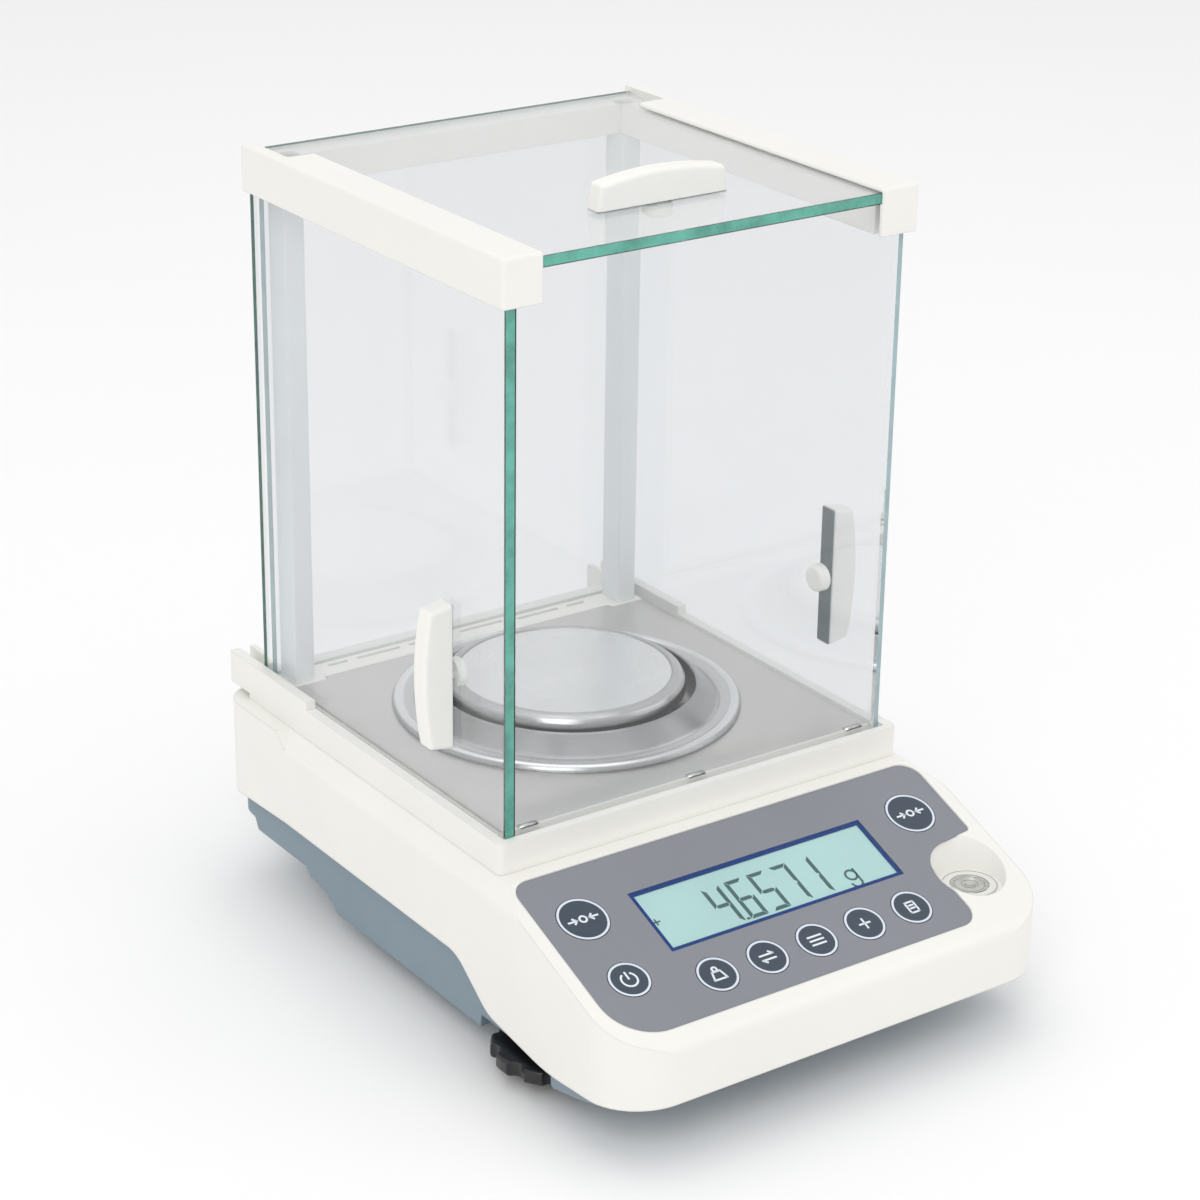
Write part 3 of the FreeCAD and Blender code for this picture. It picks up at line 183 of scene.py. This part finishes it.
def glass(name, color, density_tint=0.02, ior=1.5):
    """Clear float glass that lets lamps and soft light through, with faint smudges."""
    mat, tree, shader = new_material(name)
    shader.inputs["Transmission Weight"].default_value = 1.0
    shader.inputs["IOR"].default_value = ior
    ramp = tree.nodes.new("ShaderNodeValToRGB")
    ramp.color_ramp.elements[0].color = (*[c * (1 - density_tint) for c in color], 1)
    ramp.color_ramp.elements[1].color = (*color, 1)
    smears = noise(tree, 16, 3.0)
    tree.links.new(smears, ramp.inputs["Fac"])
    tree.links.new(ramp.outputs["Color"], shader.inputs["Base Color"])
    tree.links.new(vary(tree, smears, 0.0, 0.03), shader.inputs["Roughness"])
    relief = tree.nodes.new("ShaderNodeBump")
    relief.inputs["Strength"].default_value = 0.004
    relief.inputs["Distance"].default_value = 0.0003
    tree.links.new(smears, relief.inputs["Height"])
    tree.links.new(relief.outputs["Normal"], shader.inputs["Normal"])
    clear = tree.nodes.new("ShaderNodeBsdfTransparent")
    clear.inputs["Color"].default_value = (*[0.5 + 0.5 * c for c in color], 1)
    path = tree.nodes.new("ShaderNodeLightPath")
    soft = tree.nodes.new("ShaderNodeMath")
    soft.operation = "MAXIMUM"
    tree.links.new(path.outputs["Is Shadow Ray"], soft.inputs[0])
    tree.links.new(path.outputs["Is Diffuse Ray"], soft.inputs[1])
    mix = tree.nodes.new("ShaderNodeMixShader")
    tree.links.new(soft.outputs["Value"], mix.inputs["Fac"])
    tree.links.new(shader.outputs["BSDF"], mix.inputs[1])
    tree.links.new(clear.outputs["BSDF"], mix.inputs[2])
    tree.links.new(mix.outputs["Shader"], tree.nodes["Material Output"].inputs["Surface"])
    return mat


pan_low, pan_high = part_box("weighing_pan")
pan_centre = (pan_low + pan_high) / 2


ring_low, ring_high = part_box("draft_ring")
ring_centre = (ring_low + ring_high) / 2
# Painted shade and painted highlights as tones by radius in mm, standing in for how light falls:
# the pan's flat, groove, rim and skirt, and the ring's hole, slope, channel, rolled edge and skirt.
PAN_PAINTED_SHADE = [
    (0, 1.0), (45.4, 0.98), (45.9, 0.40), (46.6, 0.62), (50.6, 0.66), (51.6, 0.42), (53, 0.40),
]
RING_PAINTED_SHADE = [
    (0, 0.30), (55, 0.34), (56, 0.44), (64.5, 0.50), (66, 0.74), (70.5, 0.78), (71.5, 0.98),
    (74.4, 0.98), (75.3, 0.50), (77, 0.42),
]


def turned_lines(rings, centre):
    return lambda tree: spun(tree, centre, rings)


# Painted shade and painted highlights by radius, for the pan and ring colours.
def turned_shade_bands(tones, centre):
    return lambda tree: radial_painted_shade(tree, centre, tones)


IVORY = (0.86, 0.85, 0.81)
MATERIALS = {
    "shell": finish("shell_plastic", IVORY, 0.38, edge=0.0012, bump=0.05, tint=0.012),
    "shield": finish("shield_plastic", (0.85, 0.84, 0.80), 0.36, edge=0.0007, bump=0.04,
                     tint=0.012),
    "handle": finish("handle_plastic", (0.88, 0.87, 0.83), 0.32, edge=0.0008, bump=0.04,
                     tint=0.012),
    "chassis": finish("chassis_plastic", (0.222, 0.288, 0.338), 0.5, edge=0.0009, bump=0.08,
                      tint=0.03),
    "screw": finish("zinc_screws", (0.6, 0.6, 0.6), 0.32, 1.0, stretch=(4, 1, 1)),
    "plate": finish("brushed_plate", (0.72, 0.71, 0.685), 0.34, 1.0, grain=900, stretch=(1, 30, 30),
                    bump=0.06, rough_spread=0.1, edge=0.0008),
    "column": finish("anodised_columns", (0.80, 0.83, 0.84), 0.42, 0.15, grain=1200,
                     stretch=(20, 20, 1), bump=0.03, edge=0.0006),
    # The pan and ring colours carry painted shade and painted highlights by radius.
    "pan": finish("polished_pan_painted_shade", (0.92, 0.925, 0.92), 0.26, 1.0, rough_spread=0.05, bump=0.015,
                  pattern=turned_lines(2600, pan_centre),
                  shade_bands=turned_shade_bands(PAN_PAINTED_SHADE, pan_centre)),
    "ring": finish("spun_ring_painted_shade", (0.86, 0.865, 0.87), 0.24, 1.0, rough_spread=0.08, bump=0.05,
                   pattern=turned_lines(1500, ring_centre),
                   shade_bands=turned_shade_bands(RING_PAINTED_SHADE, ring_centre), edge=0.0005),
    "overlay": finish("overlay_film", (0.235, 0.245, 0.275), 0.5, bump=0.06, tint=0.02),
    "key": finish("key_film", (0.042, 0.062, 0.088), 0.42, bump=0.05, tint=0.03),
    "ring_print": finish("ring_print", (0.70, 0.76, 0.84), 0.4, bump=0.03),
    "icon_print": finish("icon_print", (0.78, 0.83, 0.88), 0.4, bump=0.03),
    "lcd": finish("display_field", (0.46, 0.665, 0.65), 0.35, patch=14, tint=0.05, bump=0.02),
    "segments": finish("display_segments", (0.085, 0.145, 0.15), 0.35, bump=0.02, specular=0.2),
    "bezel": finish("display_border", (0.016, 0.05, 0.21), 0.4, bump=0.02, specular=0.15),
    "target": finish("level_target", (0.25, 0.26, 0.25), 0.4, bump=0.02),
    "board": finish("circuit_board", (0.02, 0.14, 0.05), 0.35, coat=0.3, bump=0.1),
    "black": finish("black_moulding", (0.012, 0.012, 0.014), 0.26, bump=0.05, edge=0.0008,
                    coat=0.2),
    "matt_black": finish("matt_black", (0.03, 0.03, 0.03), 0.55, bump=0.08),
    "rubber": finish("foot_rubber", (0.02, 0.02, 0.02), 0.75, bump=0.2),
    "pad": finish("handle_pads", (0.13, 0.17, 0.18), 0.6, bump=0.12),
    "cast": finish("cast_alloy", (0.5, 0.5, 0.51), 0.5, 0.9, bump=0.3, grain=700),
    "magnet": finish("magnet_steel", (0.08, 0.08, 0.09), 0.45, 0.6, bump=0.1),
    "copper": finish("copper_winding", (0.7, 0.33, 0.13), 0.3, 1.0, grain=900, stretch=(1, 1, 20),
                     bump=0.3),
    "brass": finish("brass_parts", (0.68, 0.5, 0.2), 0.3, 1.0, bump=0.06),
    "acetal": finish("level_cup", (0.78, 0.77, 0.74), 0.4, bump=0.04),
    "clip": finish("clip_steel", (0.66, 0.655, 0.64), 0.32, 1.0, stretch=(1, 12, 1)),
    "glass": glass("float_glass", (0.915, 0.925, 0.935)),
    "edge": finish("glass_edges", (0.10, 0.38, 0.30), 0.28, bump=0.05, tint=0.22, patch=110,
                   coat=0.2),
    "pale_edge": finish("shaded_glass_edges", (0.34, 0.46, 0.48), 0.3, bump=0.05, tint=0.10,
                        patch=90),
    "window": glass("display_cover", (0.96, 0.99, 0.99), ior=1.15),
    "vial": glass("level_glass", (0.93, 0.945, 0.93)),
}

NODE_FINISH = {
    "upper_shell": "shell", "lower_chassis": "chassis", "chassis_screws": "screw",
    "shield_base": "shield", "floor_plate": "plate", "left_column": "column",
    "right_column": "column", "column_screws": "screw", "top_frame": "shield",
    "front_glass": "glass", "rear_glass": "glass", "draft_ring": "ring", "weighing_pan": "pan",
    "pan_carrier": "screw", "keypad_overlay": "overlay", "key_switches": "matt_black",
    "display_window": "window", "display_bezel": "bezel", "display_module": "lcd",
    "display_board": "board", "level_housing": "acetal", "level_vial": "vial",
    "cell_base": "cast", "parallel_guides": "cast", "magnet_pot": "magnet",
    "lever_beam": "cast", "force_coil": "copper", "main_board": "board",
    "board_standoffs": "acetal", "connector_plate": "matt_black", "power_inlet": "black",
    "data_port": "screw", "data_port_jackscrews": "brass", "foot_inserts": "brass",
    "rear_feet": "rubber",
}
for side in ("left", "right", "top"):
    NODE_FINISH[f"{side}_door_glass"] = "glass"
    NODE_FINISH[f"{side}_door_handle"] = "handle"
    NODE_FINISH[f"{side}_handle_pad"] = "pad"
    NODE_FINISH[f"{side}_handle_nut"] = "handle"
for side in ("left", "right"):
    NODE_FINISH[f"{side}_foot_knob"] = "black"
    NODE_FINISH[f"{side}_foot_pad"] = "rubber"
KEYS = [name for name in nodes if name.startswith("key_") and name != "key_switches"]
for name in KEYS:
    NODE_FINISH[name] = "key"

for name, node in nodes.items():
    node.data.materials.clear()
    node.data.materials.append(MATERIALS[NODE_FINISH[name]])


# ------------------------------------------------------------ mesh helpers

def add_piece(name, bm, material, body, smooth=False):
    mesh = bpy.data.meshes.new(name)
    bmesh.ops.recalc_face_normals(bm, faces=bm.faces)
    bm.to_mesh(mesh)
    bm.free()
    for face in mesh.polygons:
        face.use_smooth = smooth
    mesh.materials.append(MATERIALS[material])
    piece = bpy.data.objects.new(name, mesh)
    bpy.context.scene.collection.objects.link(piece)
    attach(piece, body)
    return piece


def slab(bm, outline, low, high, place):
    """A flat closed outline given thickness between two heights of a local frame."""
    bottom = [bm.verts.new(place @ Vector((x, y, low))) for x, y in outline]
    top = [bm.verts.new(place @ Vector((x, y, high))) for x, y in outline]
    bm.faces.new(bottom[::-1])
    bm.faces.new(top)
    count = len(outline)
    for i in range(count):
        j = (i + 1) % count
        bm.faces.new((bottom[i], bottom[j], top[j], top[i]))


def annulus(bm, inner, outer, low, high, place, start=0.0, end=360.0, steps=64):
    """A flat ring, or an arc of one, with thickness."""
    whole = abs(end - start) >= 360
    count = steps if whole else steps + 1
    rows = []
    for i in range(count):
        angle = math.radians(start + (end - start) * i / steps)
        c, s = math.cos(angle), math.sin(angle)
        rows.append([
            bm.verts.new(place @ Vector((r * c, r * s, z)))
            for r, z in ((inner, low), (outer, low), (outer, high), (inner, high))
        ])
    for i in range(count if whole else count - 1):
        a, b = rows[i], rows[(i + 1) % count]
        for k in range(4):
            bm.faces.new((a[k], b[k], b[(k + 1) % 4], a[(k + 1) % 4]))
    if not whole:
        bm.faces.new(rows[0][::-1])
        bm.faces.new(rows[-1])


def stroke(bm, start, end, width, low, high, place):
    """A straight bar between two points, with square ends."""
    a, b = Vector(start), Vector(end)
    along = (b - a).normalized() * (width / 2)
    side = Vector((-along.y, along.x))
    a, b = a - along, b + along
    slab(bm, [a + side, a - side, b - side, b + side], low, high, place)


# ------------------------------------------------------------ front panel

press = next(joint for joint in frame["joints"] if joint["name"] == "key_power_press")
outward = -Vector(press["axis"]).normalized()
across = Vector((1, 0, 0))
uphill = outward.cross(across)


def panel_place(origin):
    """A frame lying on the panel: x to the right, y up the slope, z out."""
    return Matrix((
        (across.x, uphill.x, outward.x, origin.x),
        (across.y, uphill.y, outward.y, origin.y),
        (across.z, uphill.z, outward.z, origin.z),
        (0, 0, 0, 1),
    ))


def face_frame(name):
    """The panel frame at the middle of a node's outermost face, and that face's half sizes."""
    points = [vertex.co for vertex in nodes[name].data.vertices]
    top = max(point.dot(outward) for point in points)
    face = [point for point in points if top - point.dot(outward) < 0.00005]
    x_low, x_high = min(p.x for p in face), max(p.x for p in face)
    u_low, u_high = min(p.dot(uphill) for p in face), max(p.dot(uphill) for p in face)
    origin = across * ((x_low + x_high) / 2) + uphill * ((u_low + u_high) / 2) + outward * top
    return panel_place(origin), (x_high - x_low) / 2, (u_high - u_low) / 2


def icon_lines(kind):
    """Generic symbols as strokes in units of the key radius: (start, end)."""
    if kind == "zero":
        return [((-0.62, 0), (-0.28, 0)), ((-0.40, 0.12), (-0.28, 0)), ((-0.40, -0.12), (-0.28, 0)),
                ((0.62, 0), (0.28, 0)), ((0.40, 0.12), (0.28, 0)), ((0.40, -0.12), (0.28, 0))]
    if kind == "weight":
        return [((-0.34, -0.3), (0.34, -0.3)), ((-0.34, -0.3), (-0.22, 0.16)),
                ((0.34, -0.3), (0.22, 0.16)), ((-0.22, 0.16), (0.22, 0.16))]
    if kind == "swap":
        return [((-0.36, 0.14), (0.36, 0.14)), ((0.2, 0.28), (0.36, 0.14)),
                ((-0.36, -0.14), (0.36, -0.14)), ((-0.2, -0.28), (-0.36, -0.14))]
    if kind == "list":
        return [((-0.36, y), (0.36, y)) for y in (-0.24, 0.0, 0.24)]
    if kind == "plus":
        return [((-0.28, 0), (0.28, 0)), ((0, -0.28), (0, 0.28))]
    if kind == "sheet":
        return [((-0.22, -0.32), (-0.22, 0.32)), ((0.26, -0.32), (0.26, 0.32)),
                ((-0.22, 0.32), (0.26, 0.32)), ((-0.22, -0.32), (0.26, -0.32)),
                ((-0.08, 0.12), (0.12, 0.12)), ((-0.08, -0.06), (0.12, -0.06))]
    return [((0, 0.06), (0, 0.42))]


ICONS = {
    "key_left_large": "zero", "key_right_large": "zero", "key_power": "power",
    "key_row_1": "weight", "key_row_2": "swap", "key_row_3": "list", "key_row_4": "plus",
    "key_row_5": "sheet",
}
STROKE = 0.9 * MM
for name in KEYS:
    place, radius, _ = face_frame(name)
    body = name + "_body"
    bm = bmesh.new()
    annulus(bm, radius - 1.1 * MM, radius - 0.1 * MM, *KEY_PRINT, place)
    add_piece(name + "_ring", bm, "ring_print", body)
    bm = bmesh.new()
    kind = ICONS[name]
    for start, end in icon_lines(kind):
        scaled_start, scaled_end = [c * radius for c in start], [c * radius for c in end]
        stroke(bm, scaled_start, scaled_end, STROKE, *KEY_PRINT, place)
    if kind == "zero":
        inner = radius * 0.10
        annulus(bm, inner, inner + STROKE, *KEY_PRINT, place, steps=32)
    if kind == "weight":
        inner = radius * 0.07
        knob_place = place @ Matrix.Translation((0, radius * 0.3, 0))
        annulus(bm, inner, inner + STROKE, *KEY_PRINT, knob_place, steps=32)
    if kind == "power":
        inner = radius * 0.34
        annulus(bm, inner, inner + STROKE, *KEY_PRINT, place, 120, 420, 48)
    add_piece(name + "_symbol", bm, "icon_print", body)

SEGMENTS = {
    "a": ((0, 1), (1, 1)), "b": ((1, 1), (1, 0.5)), "c": ((1, 0.5), (1, 0)), "d": ((0, 0), (1, 0)),
    "e": ((0, 0.5), (0, 0)), "f": ((0, 1), (0, 0.5)), "g": ((0, 0.5), (1, 0.5)),
}
# Which side of each bar, walking along it, faces the middle of the digit.
INWARD = {"a": -1, "b": -1, "c": -1, "d": 1, "e": 1, "f": 1, "g": 1}
LIT = {"4": "fgbc", "6": "afgedc", "5": "afgcd", "7": "abc", "1": "bc"}
glass_place, lcd_half_x, lcd_half_y = face_frame("display_module")


def digit(bm, number, corner, width, height, thickness):
    lean = -0.01
    for letter in LIT[number]:
        (x0, y0), (x1, y1) = SEGMENTS[letter]
        start = Vector((corner[0] + x0 * width + lean * y0 * height, corner[1] + y0 * height))
        end = Vector((corner[0] + x1 * width + lean * y1 * height, corner[1] + y1 * height))
        along = (end - start).normalized()
        inner = Vector((-along.y, along.x)) * thickness / 2 * INWARD[letter]
        tip = along * thickness
        start, end = start + tip * 0.14, end - tip * 0.14
        if letter == "g":
            outline = [start, start + tip / 2 - inner, end - tip / 2 - inner,
                       end, end - tip / 2 + inner, start + tip / 2 + inner]
        else:
            outline = [start - tip / 2 - inner, end + tip / 2 - inner,
                       end - tip / 2 + inner, start + tip / 2 + inner]
        slab(bm, outline, *DISPLAY_PRINT, glass_place)


FIELD_BORDER = 2.1 * MM
window_x, window_y = lcd_half_x - FIELD_BORDER, lcd_half_y - FIELD_BORDER
digit_foot = -window_y + 0.11 * 2 * window_y + 0.1 * MM
digit_width, digit_height, bar_width = 6.9 * MM, 19.6 * MM, 1.8 * MM
digit_pitch = 0.0975 * 2 * window_x
first_digit = -window_x + 0.264 * 2 * window_x
bm = bmesh.new()
for number, character in enumerate("46571"):
    corner = (first_digit + digit_pitch * number, digit_foot)
    digit(bm, character, corner, digit_width, digit_height, bar_width)

point_size = 1.4 * MM
point_left = first_digit + digit_pitch - 2.2 * MM - point_size / 2
point_right = point_left + point_size
point_low, point_high = digit_foot - 0.7 * MM, digit_foot + 0.4 * MM
slab(bm, [(point_left, point_low), (point_right, point_low), (point_right, point_high),
          (point_left, point_high)], *DISPLAY_PRINT, glass_place)

# The unit: a round bowl, a straight stem and a tail in a half circle.
bowl_inner, bowl_outer, stem, stem_foot = 2.1 * MM, 3.1 * MM, 2.6 * MM, -4.2 * MM
unit_shift = (window_x * 0.69 - 3.1 * MM, -window_y * 0.34 - 2.9 * MM, 0)
unit = glass_place @ Matrix.Translation(unit_shift)
tail = unit @ Matrix.Translation((0, stem_foot, 0))
annulus(bm, bowl_inner, bowl_outer, *DISPLAY_PRINT, unit)
stroke(bm, (stem, stem), (stem, stem_foot), 1.0 * MM, *DISPLAY_PRINT, unit)
annulus(bm, bowl_inner, bowl_outer, *DISPLAY_PRINT, tail, 180, 360, 32)

# The small plus sign at the left of the field.
mark = glass_place @ Matrix.Translation((-window_x + 2.8 * MM, -window_y * 0.02, 0))
for arm in ((1.6 * MM, 0), (0, 1.4 * MM)):
    stroke(bm, (-arm[0], -arm[1]), arm, 0.7 * MM, *DISPLAY_PRINT, mark)
add_piece("display_digits", bm, "segments", "casing")


# ------------------------------------------------------------ glass edges

def end_strips(node, body, front_material="edge"):
    """The ground front and rear ends of a sliding pane, which look green along their length."""
    low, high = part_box(node)
    inset = 0.15 * MM
    ends = (
        ("front", low.y - GLASS_END_SKIN, low.y, front_material),
        ("rear", high.y, high.y + GLASS_END_SKIN, "edge"),
    )
    for name, start, end, material in ends:
        outline = [
            (low.x + inset, start), (high.x - inset, start),
            (high.x - inset, end), (low.x + inset, end),
        ]
        bm = bmesh.new()
        slab(bm, outline, low.z + inset, high.z - inset, Matrix.Identity(4))
        add_piece(f"{node}_{name}_end", bm, material, body)


def side_strips(node, body):
    """The ground left and right ends of a fixed pane."""
    low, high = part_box(node)
    inset = 0.2 * MM
    ends = (("left", low.x - GLASS_END_SKIN, low.x), ("right", high.x, high.x + GLASS_END_SKIN))
    for name, start, end in ends:
        outline = [
            (start, low.y + inset), (end, low.y + inset),
            (end, high.y - inset), (start, high.y - inset),
        ]
        bm = bmesh.new()
        slab(bm, outline, low.z + inset, high.z - inset, Matrix.Identity(4))
        add_piece(f"{node}_{name}_end", bm, "pale_edge", body)


side_strips("rear_glass", "casing")
end_strips("left_door_glass", "left_door")
end_strips("top_door_glass", "top_door")
end_strips("right_door_glass", "right_door", "pale_edge")


# ------------------------------------------------------------ bubble level and clips

low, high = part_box("level_vial")
middle = (low + high) / 2
vial_top = Matrix.Translation((middle.x, middle.y, high.z))
bm = bmesh.new()
for inner, outer in ((3.3, 3.7), (6.4, 6.7), (8.3, 8.5)):
    annulus(bm, inner * MM, outer * MM, *LEVEL_PRINT, vial_top)
add_piece("level_target", bm, "target", "casing")

flange_low, flange_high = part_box("level_housing")
flange_radius = (flange_high.x - flange_low.x) / 2
flange_top = Matrix.Translation((middle.x, middle.y, flange_high.z))
bm = bmesh.new()
annulus(bm, flange_radius - 0.4 * MM, flange_radius - 0.1 * MM, 0.02 * MM, 0.08 * MM, flange_top)
add_piece("level_flange_line", bm, "target", "casing")

bubble_place = Matrix.Translation((middle.x, middle.y, high.z - 1.4 * MM))
flattened = Matrix.Diagonal((1, 1, 0.4, 1))
bm = bmesh.new()
bmesh.ops.create_uvsphere(bm, u_segments=32, v_segments=16, radius=2.6 * MM,
                          matrix=bubble_place @ flattened)
add_piece("level_bubble", bm, "vial", "casing", smooth=True)

plate_low, plate_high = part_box("floor_plate")
front_low, front_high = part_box("front_glass")
clip_half = 4.5 * MM
tab_front, tab_rear = front_high.y + 0.3 * MM, plate_low.y + 1.2 * MM
tab_size = (2 * clip_half, tab_rear - tab_front, 1.2 * MM)
slot_front, slot_rear = front_low.y + 1.6 * MM, front_high.y - 0.2 * MM
for number, x in enumerate((-85 * MM, 0.0, 85 * MM)):
    tab_place = Matrix.Translation((x, (tab_front + tab_rear) / 2, plate_high.z + 0.7 * MM))
    bm = bmesh.new()
    bmesh.ops.create_cube(bm, size=1, matrix=tab_place @ Matrix.Diagonal((*tab_size, 1)))
    bmesh.ops.bevel(bm, geom=bm.edges[:], offset=0.2 * MM, segments=2, affect="EDGES")
    add_piece(f"glass_clip_{number + 1}", bm, "clip", "casing", smooth=True)
    # A thin matt black sheet just under the glass foot at each clip is painted shade of the clip
    # slot.
    slot_shade_outline = [
        (x - clip_half, slot_front), (x + clip_half, slot_front),
        (x + clip_half, slot_rear), (x - clip_half, slot_rear),
    ]
    bm = bmesh.new()
    slab(bm, slot_shade_outline, front_low.z - 0.32 * MM, front_low.z - 0.08 * MM, Matrix.Identity(4))
    add_piece(f"clip_slot_shade_{number + 1}", bm, "matt_black", "casing")


# ------------------------------------------------------------ stage, light and camera

def stage_material():
    return finish("studio_floor", (0.93, 0.93, 0.93), 0.75, tint=0.004, bump=0.01, patch=3)


MATERIALS["floor"] = stage_material()
bpy.ops.mesh.primitive_plane_add(size=16, location=(0, 0, 0))
floor = bpy.context.object
floor.name = "studio_floor"
floor.data.materials.append(MATERIALS["floor"])

world = bpy.data.worlds.new("studio")
bpy.context.scene.world = world
world.use_nodes = True
world.node_tree.nodes["Background"].inputs["Color"].default_value = (1, 1, 1, 1)
world.node_tree.nodes["Background"].inputs["Strength"].default_value = 0.85


def area_light(name, place, aim, size, power):
    data = bpy.data.lights.new(name, "AREA")
    data.shape = "SQUARE"
    data.size = size
    data.energy = power
    light = bpy.data.objects.new(name, data)
    light.location = place
    light.rotation_euler = (Vector(aim) - Vector(place)).to_track_quat("-Z", "Y").to_euler()
    bpy.context.scene.collection.objects.link(light)


area_light("key_light", (-1.6, -1.5, 1.9), (0, 0, 0.12), 1.3, 15)
area_light("fill_light", (1.9, -1.2, 1.3), (0, 0, 0.15), 1.6, 4.5)
area_light("top_light", (0.1, 0.5, 2.3), (0, 0, 0.1), 1.8, 7.5)

CAMERA_AZIMUTH = math.radians(-35.261)
CAMERA_ELEVATION = math.radians(22.828)
CAMERA_ROLL = math.radians(0.822)
camera_data = bpy.data.cameras.new("camera")
camera_data.lens = 93.52
camera_data.sensor_width = 36
camera_data.clip_start, camera_data.clip_end = 0.05, 50
camera = bpy.data.objects.new("camera", camera_data)
back = Vector((
    math.sin(CAMERA_AZIMUTH) * math.cos(CAMERA_ELEVATION),
    -math.cos(CAMERA_AZIMUTH) * math.cos(CAMERA_ELEVATION),
    math.sin(CAMERA_ELEVATION),
))
right = Vector((math.cos(CAMERA_AZIMUTH), math.sin(CAMERA_AZIMUTH), 0))
up = back.cross(right)
rolled_right = right * math.cos(CAMERA_ROLL) + up * math.sin(CAMERA_ROLL)
rolled_up = up * math.cos(CAMERA_ROLL) - right * math.sin(CAMERA_ROLL)
camera.matrix_world = Matrix((
    (rolled_right.x, rolled_up.x, back.x, -0.7171),
    (rolled_right.y, rolled_up.y, back.y, -0.9965),
    (rolled_right.z, rolled_up.z, back.z, 0.6803),
    (0, 0, 0, 1),
))
bpy.context.scene.collection.objects.link(camera)
bpy.context.scene.camera = camera
bpy.context.scene.view_settings.view_transform = "Standard"
